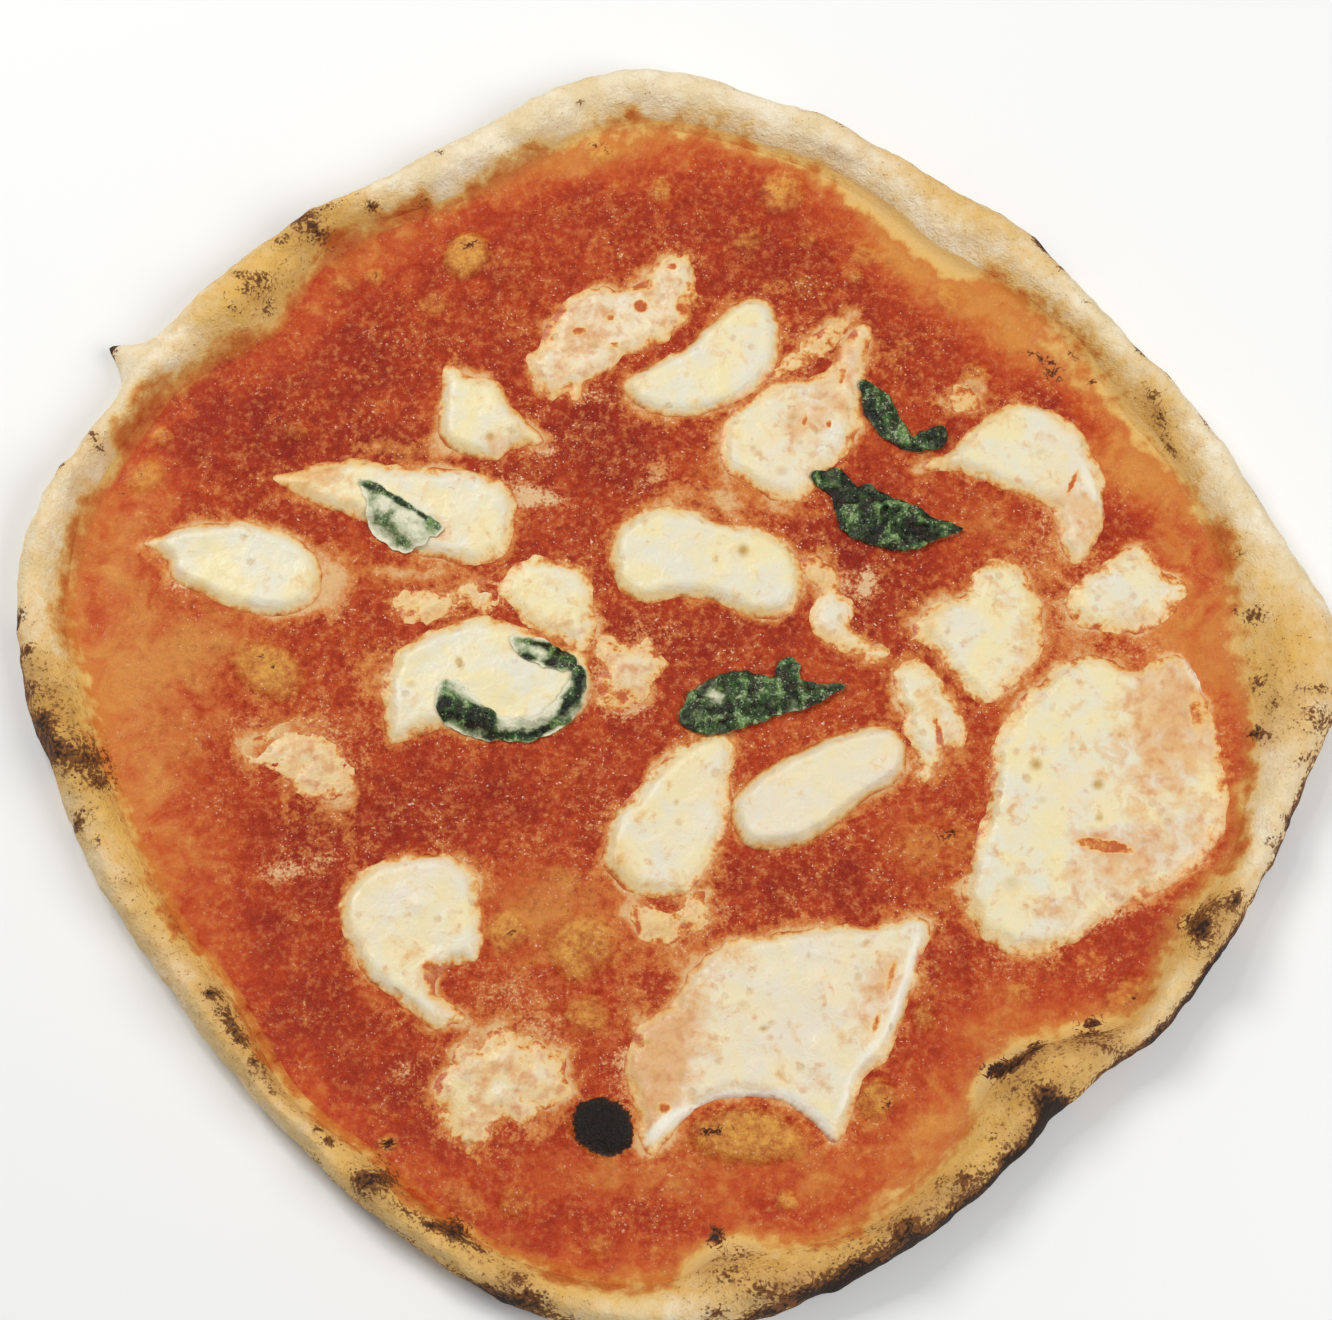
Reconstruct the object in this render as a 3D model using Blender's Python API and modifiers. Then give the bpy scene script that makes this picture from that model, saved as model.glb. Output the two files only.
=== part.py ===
"""A wood-fired margherita pizza: hand-stretched dough with a blistered rim, tomato sauce, mozzarella and basil.

Units are metres, +Z is up. The origin is on the surface that the pizza lies on, under the middle of its
bounding box. Tables are in millimetres and degrees, and MM turns them to metres.
"""

import math
import random

import bmesh
import bpy
from mathutils import Vector
from mathutils.bvhtree import BVHTree
from mathutils.geometry import delaunay_2d_cdt

MM = 0.001

# Dough, first as a turned disc of even size, then pressed to its uneven hand-made outline
TURNED_OUTER = 158.0
TURNED_INNER = 140.0
TURNED_RIM_HEIGHT = 13.0
FLOOR_THICKNESS = 2.7
STEPS_AROUND = 104

# Radii read every ten degrees, anticlockwise from +X: the outer edge, and where the rim meets the sauce
OUTER_RADII = (
    168.0, 159.0, 152.8, 148.5, 147.0, 148.8, 149.3, 152.2, 157.6,
    164.0, 162.3, 155.2, 152.8, 154.8, 157.2, 158.6, 162.0, 166.5,
    163.3, 156.0, 152.6, 148.4, 147.4, 149.6, 154.2, 158.8, 164.0,
    165.0, 161.6, 156.8, 151.8, 146.4, 150.2, 153.0, 155.8, 160.8,
)
INNER_RADII = (
    138.0, 139.0, 136.5, 133.5, 132.5, 132.5, 132.0, 137.0, 143.0,
    148.0, 147.5, 139.5, 139.5, 141.5, 138.5, 146.0, 150.5, 151.5,
    147.0, 141.0, 138.5, 136.0, 135.0, 140.5, 143.5, 145.5, 150.5,
    151.0, 147.5, 145.0, 137.0, 127.5, 135.0, 139.5, 143.5, 142.5,
)

# Swellings of the rim: angle, radius, size, rise
RIM_PUFFS = (
    (0.0, 156.0, 14.0, 3.0),
    (27.0, 140.0, 7.0, 1.5),
    (39.0, 133.0, 9.0, 2.5),
    (90.0, 157.0, 12.0, 1.0),
    (128.0, 150.0, 7.0, 2.0),
    (140.0, 148.0, 10.0, 3.0),
    (166.0, 159.0, 10.0, 1.5),
    (189.0, 149.0, 9.0, 2.5),
    (219.0, 141.0, 7.0, 2.0),
    (242.0, 149.0, 7.0, 2.5),
    (258.0, 157.0, 8.0, 1.0),
    (275.0, 150.0, 9.0, 2.0),
    (308.0, 134.0, 10.0, 3.5),
    (331.0, 146.0, 8.0, 3.0),
)

# The burnt tip of dough that stands out of the rim: angle, its root and tip radii, its thickness and height
SPIKE_ANGLE = 149.3
SPIKE_ROOT = 153.0
SPIKE_TIP = 169.3
SPIKE_THICKNESS = 9.0
SPIKE_HEIGHT = 6.0
SPIKE_POINT = 0.5
SPIKE_FLATTENING = 0.8

# Dough bubbles that come up through the sauce: x, y, half length, half width, turn, rise above the sauce
BUBBLES = (
    (-16.5, -116.5, 7.6, 6.2, -35.0, 2.6),
    (18.0, -119.0, 12.5, 5.6, 0.0, 2.4),
    (-54.0, 111.5, 6.6, 6.8, 0.0, 2.2),
    (49.0, -109.8, 4.8, 4.4, 0.0, 1.8),
    (29.0, 130.0, 6.0, 6.8, 0.0, 1.2),
    (-22.0, -72.0, 8.5, 8.5, 0.0, 1.5),
    (-39.0, -69.0, 5.6, 5.6, 0.0, 1.2),
    (-102.0, -2.0, 9.0, 6.0, -30.0, 1.4),
    (110.0, -85.0, 6.0, 4.6, 35.0, 1.4),
    (-19.0, 142.0, 4.8, 3.6, 0.0, 1.2),
)
BUBBLE_ROOT = 1.5  # how high above the underside the bubbles' bodies start
BUBBLE_SIDES = 14
BUBBLE_ROWS = 8

SAUCE_THICKNESS = 1.4
SAUCE_EDGE_THICKNESS = 0.5
GAP = 0.3  # left between pieces that touch
TOPPING_GAP = 0.4
BUBBLE_GAP = 0.45

# Mozzarella, each piece an outline that a smooth closed curve passes through, and its thickness
SLICE = 3.0
MELT = 1.3
MOZZARELLA = {
    "left_slice": (SLICE, (
        (-131, 31), (-124, 35), (-113, 38), (-102, 36), (-93, 32), (-88, 26),
        (-89, 18), (-97, 13), (-108, 14), (-118, 18), (-126, 22))),
    "kite_slice": (SLICE, (
        (-58, 80), (-50, 77), (-44, 74), (-40, 67), (-34, 60), (-41, 59), (-46, 55), (-57, 57), (-59, 66))),
    "leaf_slice": (SLICE, (
        (-101, 49), (-90, 53), (-78, 54.5), (-67, 52), (-57, 52.5), (-47, 50.5), (-41, 46),
        (-40, 37), (-42, 29.5), (-50, 27), (-63, 29), (-72, 33), (-81, 39), (-91, 43))),
    "ragged_slice": (2.2, (
        (4, 112), (-6, 107.5), (-14, 103), (-22, 101.5), (-29, 97), (-31.5, 88), (-36.5, 82),
        (-36, 75), (-29, 72.5), (-20, 76.5), (-8, 85), (2, 91.5), (5, 102))),
    "half_moon": (SLICE, (
        (-12.5, 76), (-4, 81.5), (5, 87), (13, 95.5), (20, 99.5), (25, 98), (27.5, 91),
        (26, 80), (19, 72.5), (10, 68), (0, 66.5), (-9, 69.5))),
    "forked_slice": (2.4, (
        (12.5, 60), (14.5, 66), (21.5, 71.5), (29, 76), (39, 77.5), (44, 85), (48.5, 91), (51.5, 88),
        (50, 79), (48, 70), (46, 60), (42, 54), (35, 51), (30, 44), (20, 46.5), (14, 53))),
    "strand": (MELT, ((30, 80.5), (34, 87), (41, 92), (46, 95), (44, 90.5), (38, 84), (34, 80))),
    "crescent": (2.8, (
        (64, 52.5), (73, 60), (80, 66.5), (89, 70.5), (98, 67.5), (105, 60), (109, 50), (109.5, 40),
        (106.5, 31), (101, 29), (98, 36), (95.5, 42), (88, 47.5), (79, 50.5))),
    "centre_slice": (SLICE, (
        (-15, 31), (-12, 38), (-4, 41.5), (5, 41), (14, 38.5), (24, 35.5), (30.5, 29.5), (32, 21),
        (29, 13), (20, 12.5), (10, 17), (1, 18), (-8, 15.5), (-13.5, 21.5))),
    "centre_crumb": (MELT, ((34, 28.5), (38, 27), (40.5, 23), (38, 21), (34.5, 23))),
    "centre_tail": (1.8, (
        (34, 14), (37, 18.5), (42, 19), (45, 14), (48, 8), (54, 4), (52, 0.5), (44, 2.5), (36.5, 7.5))),
    "leaf_puddle": (SLICE, (
        (-69, 1), (-65, 6), (-57, 9.5), (-48, 11), (-38, 8.5), (-28, 4.5), (-22, 0), (-21, -7),
        (-25, -14), (-35, -19), (-47, -20), (-58, -17.5), (-68, -19.5), (-71, -12))),
    "upper_puddle": (2.2, (
        (-42.5, 19), (-40.5, 25), (-35, 28.5), (-28, 27), (-22.5, 24), (-20, 17), (-20, 9),
        (-23, 4.5), (-30, 7.5), (-37.5, 12))),
    "upper_arm": (MELT, (
        (-70, 17), (-64, 20.5), (-55, 20), (-47, 23), (-44, 20), (-45, 15.5), (-53, 14.5), (-62, 11.5))),
    "left_melt": (MELT, (
        (-109, -19), (-101, -17), (-91, -15), (-83, -19), (-79, -26), (-82, -34), (-90, -34),
        (-97, -29), (-106, -26))),
    "lower_left_slice": (SLICE, (
        (-80, -63), (-78, -55.5), (-73, -51.5), (-64, -49.5), (-54, -50), (-48, -54), (-47.5, -61),
        (-47, -70), (-50, -76), (-56, -80), (-51, -89), (-58, -90.5), (-67, -84.5), (-76, -77))),
    "lower_left_melt": (1.6, (
        (-56, -107), (-52, -99), (-44, -95.5), (-34, -97), (-27, -103), (-27.5, -110), (-36, -113),
        (-43, -117), (-50, -122), (-54, -116))),
    "bottom_sheet": (SLICE, (
        (10, -73), (22, -69.5), (34, -67), (47, -67), (61, -66.5), (59, -77), (56, -90), (52, -100),
        (45, -106), (42, -114), (38, -118.5), (32, -113), (25, -109.5), (14, -109.5), (5, -112.5),
        (-2, -120), (-6, -122), (-6.5, -111), (-9, -100), (-7, -90), (3, -83))),
    "centre_low_slice": (SLICE, (
        (7, -19), (12, -18.5), (15, -24), (13, -33), (13, -42), (10, -50), (4, -57.5), (-3, -60),
        (-10, -57), (-16, -51), (-15, -43), (-10, -34.5), (-2, -26))),
    "centre_right_slice": (SLICE, (
        (15.5, -38), (20, -30.5), (29, -24.5), (39, -20), (48, -17.5), (54.5, -18), (57.5, -23),
        (56, -30), (48, -35.5), (41, -41), (33, -46), (24, -48), (17, -45))),
    "right_drop": (2.2, (
        (54.5, -4), (57, 0), (61.5, 0.5), (66, -3), (70, -9.5), (73, -17), (71.5, -23.5), (67, -24),
        (63, -29.5), (60, -24), (57.5, -14))),
    "right_sheet": (SLICE, (
        (91, -7), (98, 0), (108, 1.5), (117, -1), (125, 1), (130, -8), (134, -18), (136, -30),
        (135, -42), (129, -52), (118, -58), (108, -63), (99, -71), (88, -74), (78, -70), (72, -60),
        (75, -48), (78, -34), (81, -21), (86, -13))),
    "right_lobe": (2.4, (
        (62.5, 10), (68, 15), (74, 18), (79, 26), (87, 25.5), (91, 19), (92, 9), (91, 0.5), (85, -6.5),
        (78, -12), (72.5, -7), (67, 2.5))),
    "star_slice": (2.6, (
        (100, 18), (105, 23), (112, 28.5), (119, 30.5), (124, 25), (128.5, 20), (126, 13.5), (119, 10),
        (109, 10), (102, 12))),
    "middle_melt": (MELT, ((-17, 4), (-11, 7), (-4, 4), (0, 0), (-5, -5), (-11, -9), (-17, -10), (-18, -3))),
    "small_melt": (MELT, ((71.5, 73), (77, 76), (80, 72), (79, 68), (74, 68.5))),
    "low_melt": (MELT, ((-9, -63), (-7, -68), (-1, -70.5), (5, -69), (8.5, -63), (7, -59.5), (0, -63.5))),
}
CURVE_STEPS = 12
OUTLINE_STEP = 6.2
LEAST_OUTLINE_STEPS = 12
GRID_SPACING = 6.5
LEAST_EDGE_DISTANCE = 3.4
EDGE_SHARE = 0.3  # how thick a melted piece is at its edge, as a share of its whole thickness
EDGE_ROUNDING = 7.0

# Basil: points along the midrib, greatest half width, how high the blade ripples, ripples along it, and fold
BASIL = {
    "basil_upper": (((48.5, 75.0), (53.0, 67.5), (60.0, 60.5), (70.0, 62.5)), 4.6, 1.8, 2.5, 0.35),
    "basil_large": (((36.5, 50.5), (46.0, 43.0), (57.0, 36.0), (72.0, 35.5)), 7.2, 2.6, 3.0, 0.30),
    "basil_centre": (((2.5, -14.0), (12.0, -10.5), (26.0, -8.5), (42.5, -6.0)), 6.2, 2.6, 3.0, 0.45),
    "basil_left": (((-79.0, 46.5), (-72.0, 42.5), (-65.0, 38.5), (-58.0, 33.5)), 5.4, 0.9, 2.0, 0.10),
    "basil_puddle": (((-58.0, -8.0), (-49.0, -14.5), (-37.0, -15.5), (-24.5, -6.0)), 4.4, 0.9, 2.0, 0.15),
    "basil_puddle_tip": (((-39.0, 2.5), (-33.5, 1.5), (-29.5, 0.0), (-26.5, -1.5)), 2.6, 0.6, 1.5, 0.10),
}
LEAF_THICKNESS = 0.6
LEAF_STEPS_ALONG = 11
LEAF_STEPS_ACROSS = 3
LEAF_TIP = 0.7  # half the width left at a leaf's two ends
LEAF_FULLNESS = 0.75
LEAF_FLAT_SHARE = 0.35  # how much of the ripple reaches the midrib
LEAF_FOLD_RISE = 0.4
RIPPLE_LAG = 2.2  # how far, in radians, the ripple at a leaf's side runs ahead of its middle

# Turned profile of the dough, radius and height: over the floor, up and over the rim, and back underneath
SAUCE_RINGS = ((0.0, 2.7), (50.0, 2.7), (95.0, 2.8), (122.0, 3.1), (133.0, 3.8), (140.0, 5.4))
RIM_RINGS = (
    (143.5, 8.6), (147.0, 11.4), (150.5, 12.8), (153.5, 12.7), (156.2, 10.6), (157.8, 7.2),
    (157.4, 3.6), (155.0, 1.1), (150.0, 0.0),
)
UNDERSIDE_CENTRE = (0.0, 0.0)

# How far the hand-stretched floor and the rim rise and fall
FLOOR_RIPPLE = 0.18
RIM_RIPPLE = 0.75

# What a topping rests on is felt for at its own place and just round it
ABOVE = 100.0
PROBE = 1.6
PROBES = ((0.0, 0.0), (PROBE, 0.0), (-PROBE, 0.0), (0.0, PROBE), (0.0, -PROBE))


def clear_scene():
    for obj in list(bpy.data.objects):
        bpy.data.objects.remove(obj, do_unlink=True)


def linear(hex_colour):
    """An sRGB hex colour as linear red, green, blue and alpha."""
    channels = (int(hex_colour[i:i + 2], 16) / 255 for i in (1, 3, 5))
    return (*(c / 12.92 if c <= 0.04045 else ((c + 0.055) / 1.055) ** 2.4 for c in channels), 1.0)


def make_material(name, hex_colour, roughness):
    material = bpy.data.materials.new(name)
    material.use_nodes = True
    shader = material.node_tree.nodes["Principled BSDF"]
    shader.inputs["Base Color"].default_value = linear(hex_colour)
    shader.inputs["Roughness"].default_value = roughness
    return material


def around(table, angle):
    """A smooth closed curve through a table's values, which are evenly spaced round the circle."""
    place = (angle % 360.0) / 360.0 * len(table)
    step = int(place)
    share = place - step
    before, here, after, beyond = (table[(step + k) % len(table)] for k in (-1, 0, 1, 2))
    return here + 0.5 * share * (
        after - before
        + share * (2 * before - 5 * here + 4 * after - beyond + share * (3 * (here - after) + beyond - before))
    )


def make_waves(seed, count, least, most):
    """Random directions, wave numbers per millimetre and phases, which ripple() adds up."""
    draw = random.Random(seed)
    waves = []
    for _ in range(count):
        direction = draw.uniform(0, math.tau)
        number = math.tau / draw.uniform(least, most)
        waves.append((math.cos(direction) * number, math.sin(direction) * number, draw.uniform(0, math.tau)))
    return waves


def ripple(waves, x, y):
    """Between about -1 and 1, changing smoothly over the plane."""
    return sum(math.sin(a * x + b * y + phase) for a, b, phase in waves) / math.sqrt(len(waves))


FLOOR_WAVES = make_waves(seed=3, count=6, least=45.0, most=90.0)
RIM_WAVES = make_waves(seed=11, count=8, least=16.0, most=34.0)


def pressed(x, y, z):
    """Moves a point of the turned disc to where it is on the hand-made pizza, in millimetres."""
    turned_radius = math.hypot(x, y)
    angle = math.degrees(math.atan2(y, x))
    inner, outer = around(INNER_RADII, angle), around(OUTER_RADII, angle)
    if turned_radius <= TURNED_INNER:
        radius = turned_radius * inner / TURNED_INNER
    else:
        share = (turned_radius - TURNED_INNER) / (TURNED_OUTER - TURNED_INNER)
        radius = inner + share * (outer - inner)
    px, py = radius * math.cos(math.radians(angle)), radius * math.sin(math.radians(angle))
    upper = min(1.0, max(0.0, z / TURNED_RIM_HEIGHT))
    rise = FLOOR_RIPPLE * ripple(FLOOR_WAVES, px, py) * min(1.0, z / FLOOR_THICKNESS)
    rise += RIM_RIPPLE * ripple(RIM_WAVES, px, py) * upper * upper
    for puff_angle, puff_radius, size, height in RIM_PUFFS:
        centre = math.radians(puff_angle)
        away = math.hypot(px - puff_radius * math.cos(centre), py - puff_radius * math.sin(centre))
        rise += height * upper * math.exp(-((away / size) ** 2))
    return px, py, z + rise


def smooth_mesh(obj):
    obj.data.shade_smooth()
    obj.data.set_sharp_from_angle(angle=math.radians(50))


def add_object(name, mesh, material, collection):
    obj = bpy.data.objects.new(name, mesh)
    mesh.materials.clear()
    mesh.materials.append(material)
    collection.objects.link(obj)
    smooth_mesh(obj)
    return obj


def turned_mesh(name, profile):
    """A mesh turned round Z from a profile of (radius, height) in millimetres, which starts and ends on the axis."""
    line = bpy.data.meshes.new(name)
    points = [(radius * MM, 0.0, height * MM) for radius, height in profile]
    line.from_pydata(points, [(i, i + 1) for i in range(len(points) - 1)], [])
    blank = bpy.data.objects.new(name + "_profile", line)
    bpy.context.scene.collection.objects.link(blank)
    screw = blank.modifiers.new("turn", "SCREW")
    screw.axis = "Z"
    screw.steps = screw.render_steps = STEPS_AROUND
    screw.use_merge_vertices = True
    screw.merge_threshold = 0.0001
    screw.use_smooth_shade = True
    graph = bpy.context.evaluated_depsgraph_get()
    mesh = bpy.data.meshes.new_from_object(blank.evaluated_get(graph))
    bpy.data.objects.remove(blank, do_unlink=True)
    return mesh


def reshape(mesh, place):
    """Moves every point by place(x, y, z), in millimetres, then splits each quad along its shorter diagonal."""
    for vertex in mesh.vertices:
        vertex.co = Vector(place(*(vertex.co / MM))) * MM
    shape = bmesh.new()
    shape.from_mesh(mesh)
    bmesh.ops.recalc_face_normals(shape, faces=shape.faces)
    bmesh.ops.triangulate(shape, faces=shape.faces, quad_method="SHORT_EDGE")
    shape.to_mesh(mesh)
    shape.free()
    mesh.update()


def apply_boolean(obj, operation, operand):
    """Applies one union or difference of obj with the objects in a collection, then removes those objects."""
    boolean = obj.modifiers.new(operation.lower(), "BOOLEAN")
    boolean.operation = operation
    boolean.operand_type = "COLLECTION"
    boolean.collection = operand
    graph = bpy.context.evaluated_depsgraph_get()
    joined = bpy.data.meshes.new_from_object(obj.evaluated_get(graph))
    obj.modifiers.clear()
    obj.data = joined
    for piece in list(operand.objects):
        bpy.data.objects.remove(piece, do_unlink=True)
    bpy.data.collections.remove(operand)


def bubble_bodies(collection, sauce_top, swell):
    """Egg-shaped bodies, one for each dough bubble, sunk so that only the cap stands out."""
    for number, (x, y, half_length, half_width, turn, rise) in enumerate(BUBBLES):
        shape = bmesh.new()
        bmesh.ops.create_uvsphere(shape, u_segments=BUBBLE_SIDES, v_segments=BUBBLE_ROWS, radius=1.0)
        top = sauce_top(x, y) + rise + swell
        half_height = (top - BUBBLE_ROOT) / 2
        angle = math.radians(turn)
        for vertex in shape.verts:
            across = vertex.co.x * (half_length + swell)
            along = vertex.co.y * (half_width + swell)
            vertex.co = Vector((
                x + across * math.cos(angle) - along * math.sin(angle),
                y + across * math.sin(angle) + along * math.cos(angle),
                BUBBLE_ROOT + half_height * (1 + vertex.co.z),
            )) * MM
        mesh = bpy.data.meshes.new(f"bubble_body_{number}")
        shape.to_mesh(mesh)
        shape.free()
        collection.objects.link(bpy.data.objects.new(mesh.name, mesh))


def spike_body(collection):
    """The pointed burnt tip, a cone that lies outwards from the rim."""
    shape = bmesh.new()
    length = SPIKE_TIP - SPIKE_ROOT
    bmesh.ops.create_cone(
        shape, cap_ends=True, segments=10, radius1=SPIKE_THICKNESS / 2, radius2=SPIKE_POINT, depth=length)
    angle = math.radians(SPIKE_ANGLE)
    middle = (SPIKE_ROOT + SPIKE_TIP) / 2
    for vertex in shape.verts:
        out, side, up = middle + vertex.co.z, vertex.co.x, vertex.co.y * SPIKE_FLATTENING
        vertex.co = Vector((
            out * math.cos(angle) - side * math.sin(angle),
            out * math.sin(angle) + side * math.cos(angle),
            SPIKE_HEIGHT + up,
        )) * MM
    bmesh.ops.recalc_face_normals(shape, faces=shape.faces)
    mesh = bpy.data.meshes.new("spike_body")
    shape.to_mesh(mesh)
    shape.free()
    collection.objects.link(bpy.data.objects.new(mesh.name, mesh))


def new_collection(name):
    collection = bpy.data.collections.new(name)
    bpy.context.scene.collection.children.link(collection)
    return collection


def tree_of(objects):
    """One search tree over the objects' surfaces, in metres."""
    points, faces = [], []
    for obj in objects:
        first = len(points)
        points.extend(vertex.co.copy() for vertex in obj.data.vertices)
        faces.extend([first + i for i in polygon.vertices] for polygon in obj.data.polygons)
    return BVHTree.FromPolygons(points, faces)


def top_height(tree, x, y):
    """How high what lies below reaches at x, y and just round it, in millimetres."""
    found = 0.0
    for dx, dy in PROBES:
        hit, _, _, _ = tree.ray_cast(Vector((x + dx, y + dy, ABOVE)) * MM, Vector((0, 0, -1)))
        if hit is not None:
            found = max(found, hit.z / MM)
    return found


def make_dough(material, collection, sauce_top):
    profile = SAUCE_RINGS + RIM_RINGS + (UNDERSIDE_CENTRE,)
    mesh = turned_mesh("dough", profile)
    reshape(mesh, pressed)
    dough = add_object("dough", mesh, material, collection)
    extras = new_collection("dough_extras")
    bubble_bodies(extras, sauce_top, swell=0.0)
    spike_body(extras)
    apply_boolean(dough, "UNION", extras)
    smooth_mesh(dough)
    return dough


def make_sauce(material, collection, sauce_top):
    """A layer that follows the dough's own rings, thinning out where it meets the rim."""
    last = len(SAUCE_RINGS) - 1
    above = [
        (radius, height + GAP + (SAUCE_EDGE_THICKNESS if i == last else SAUCE_THICKNESS))
        for i, (radius, height) in enumerate(SAUCE_RINGS)
    ]
    below = [(radius, height + GAP) for radius, height in reversed(SAUCE_RINGS)]
    mesh = turned_mesh("tomato_sauce", above + below)
    heights = dict(SAUCE_RINGS)

    def place(x, y, z):
        radius = min(heights, key=lambda ring: abs(ring - math.hypot(x, y)))
        px, py, pz = pressed(x, y, heights[radius])
        return px, py, pz + z - heights[radius]

    reshape(mesh, place)
    sauce = add_object("tomato_sauce", mesh, material, collection)
    cutters = new_collection("bubble_cutters")
    bubble_bodies(cutters, sauce_top, swell=BUBBLE_GAP)
    apply_boolean(sauce, "DIFFERENCE", cutters)
    smooth_mesh(sauce)
    return sauce


def smooth_loop(points, count):
    """Evenly spaced points on a smooth closed curve through the outline's points."""
    fine = []
    for i in range(len(points)):
        before, here, after, beyond = (Vector(points[(i + k) % len(points)]) for k in (-1, 0, 1, 2))
        for step in range(CURVE_STEPS):
            t = step / CURVE_STEPS
            fine.append(here + 0.5 * t * (
                after - before
                + t * (2 * before - 5 * here + 4 * after - beyond + t * (3 * (here - after) + beyond - before))))
    lengths = [(fine[(i + 1) % len(fine)] - fine[i]).length for i in range(len(fine))]
    spacing = sum(lengths) / count
    loop, travelled, due = [], 0.0, 0.0
    for point, following, length in zip(fine, fine[1:] + fine[:1], lengths):
        while len(loop) < count and travelled + length > due:
            loop.append(point.lerp(following, (due - travelled) / length))
            due += spacing
        travelled += length
    return loop


def loop_length(points):
    return sum((Vector(a) - Vector(b)).length for a, b in zip(points, points[1:] + points[:1]))


def distance_to(loop, x, y):
    """How far x, y is from the loop's nearest side, and whether it is inside the loop."""
    nearest, inside = math.inf, False
    for a, b in zip(loop, loop[1:] + loop[:1]):
        side = b - a
        share = max(0.0, min(1.0, ((x - a.x) * side.x + (y - a.y) * side.y) / side.length_squared))
        nearest = min(nearest, math.hypot(x - a.x - share * side.x, y - a.y - share * side.y))
        if (a.y > y) != (b.y > y) and x < a.x + (y - a.y) * side.x / side.y:
            inside = not inside
    return nearest, inside


def filled_loop(loop):
    """A closed loop filled with even triangles: its points, then points inside it, and the triangles."""
    points = list(loop)
    low_x, high_x = min(p.x for p in loop), max(p.x for p in loop)
    low_y, high_y = min(p.y for p in loop), max(p.y for p in loop)
    row_height = GRID_SPACING * math.sqrt(3) / 2
    for row in range(int((high_y - low_y) / row_height) + 1):
        for column in range(int((high_x - low_x) / GRID_SPACING) + 2):
            x = low_x + (column - 0.5 * (row % 2)) * GRID_SPACING
            y = low_y + (row + 0.5) * row_height
            distance, inside = distance_to(loop, x, y)
            if inside and distance > LEAST_EDGE_DISTANCE:
                points.append(Vector((x, y)))
    sides = [(i, (i + 1) % len(loop)) for i in range(len(loop))]
    filled = delaunay_2d_cdt(points, sides, [], 1, 1e-4)
    return filled[0], filled[2]


def make_mozzarella(name, outline, thickness, material, collection, below):
    """A melted piece: the outline filled, its underside on what lies below and its upper side domed."""
    count = max(LEAST_OUTLINE_STEPS, round(loop_length(outline) / OUTLINE_STEP))
    loop = smooth_loop(outline, count)
    points, triangles = filled_loop(loop)
    shape = bmesh.new()
    tops, bottoms = [], []
    for point in points:
        rest = top_height(below, point.x, point.y) + TOPPING_GAP
        distance, _ = distance_to(loop, point.x, point.y)
        rounding = math.sin(math.pi / 2 * min(1.0, distance / EDGE_ROUNDING))
        height = thickness * (EDGE_SHARE + (1 - EDGE_SHARE) * rounding)
        tops.append(shape.verts.new(Vector((point.x, point.y, rest + height)) * MM))
        bottoms.append(shape.verts.new(Vector((point.x, point.y, rest)) * MM))
    sides = set()
    for corners in triangles:
        shape.faces.new([tops[i] for i in corners])
        shape.faces.new([bottoms[i] for i in reversed(corners)])
        sides.update(zip(corners, corners[1:] + corners[:1]))
    for i, j in sides:
        if (j, i) not in sides:
            shape.faces.new((tops[i], bottoms[i], bottoms[j], tops[j]))
    bmesh.ops.triangulate(shape, faces=shape.faces, quad_method="SHORT_EDGE")
    mesh = bpy.data.meshes.new(name)
    shape.to_mesh(mesh)
    shape.free()
    return add_object(name, mesh, material, collection)


def along_curve(points, share):
    """The point and the direction at a share of the way along a cubic curve with these four control points."""
    a, b, c, d = (Vector(point) for point in points)
    rest = 1 - share
    point = a * rest ** 3 + b * 3 * rest ** 2 * share + c * 3 * rest * share ** 2 + d * share ** 3
    direction = (b - a) * 3 * rest ** 2 + (c - b) * 6 * rest * share + (d - c) * 3 * share ** 2
    return point, direction.normalized()


def make_leaf(name, midrib, half_width, ripple_height, ripples, fold, material, collection, below):
    """A wilted leaf: a grid bent along its midrib, laid on what is below, rippled, and given a thickness."""
    shape = bmesh.new()
    bmesh.ops.create_grid(
        shape, x_segments=LEAF_STEPS_ALONG, y_segments=LEAF_STEPS_ACROSS, size=1.0)
    for vertex in shape.verts:
        share, side = (vertex.co.x + 1) / 2, vertex.co.y
        point, direction = along_curve(midrib, share)
        width = LEAF_TIP + half_width * abs(math.sin(math.pi * share)) ** LEAF_FULLNESS
        across = Vector((-direction.y, direction.x)) * side * width
        place = point + across
        wave = 0.5 + 0.5 * math.sin(math.tau * ripples * share + RIPPLE_LAG * side)
        lift = ripple_height * wave * (LEAF_FLAT_SHARE + (1 - LEAF_FLAT_SHARE) * abs(side))
        lift += fold * abs(side) * half_width * LEAF_FOLD_RISE
        rest = top_height(below, place.x, place.y) + TOPPING_GAP
        vertex.co = Vector((place.x, place.y, rest + lift)) * MM
    bmesh.ops.triangulate(shape, faces=shape.faces, quad_method="SHORT_EDGE")
    mesh = bpy.data.meshes.new(name)
    shape.to_mesh(mesh)
    shape.free()
    leaf = add_object(name, mesh, material, collection)
    blade = leaf.modifiers.new("blade", "SOLIDIFY")
    blade.thickness = LEAF_THICKNESS * MM
    blade.offset = 1.0
    return leaf


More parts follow.
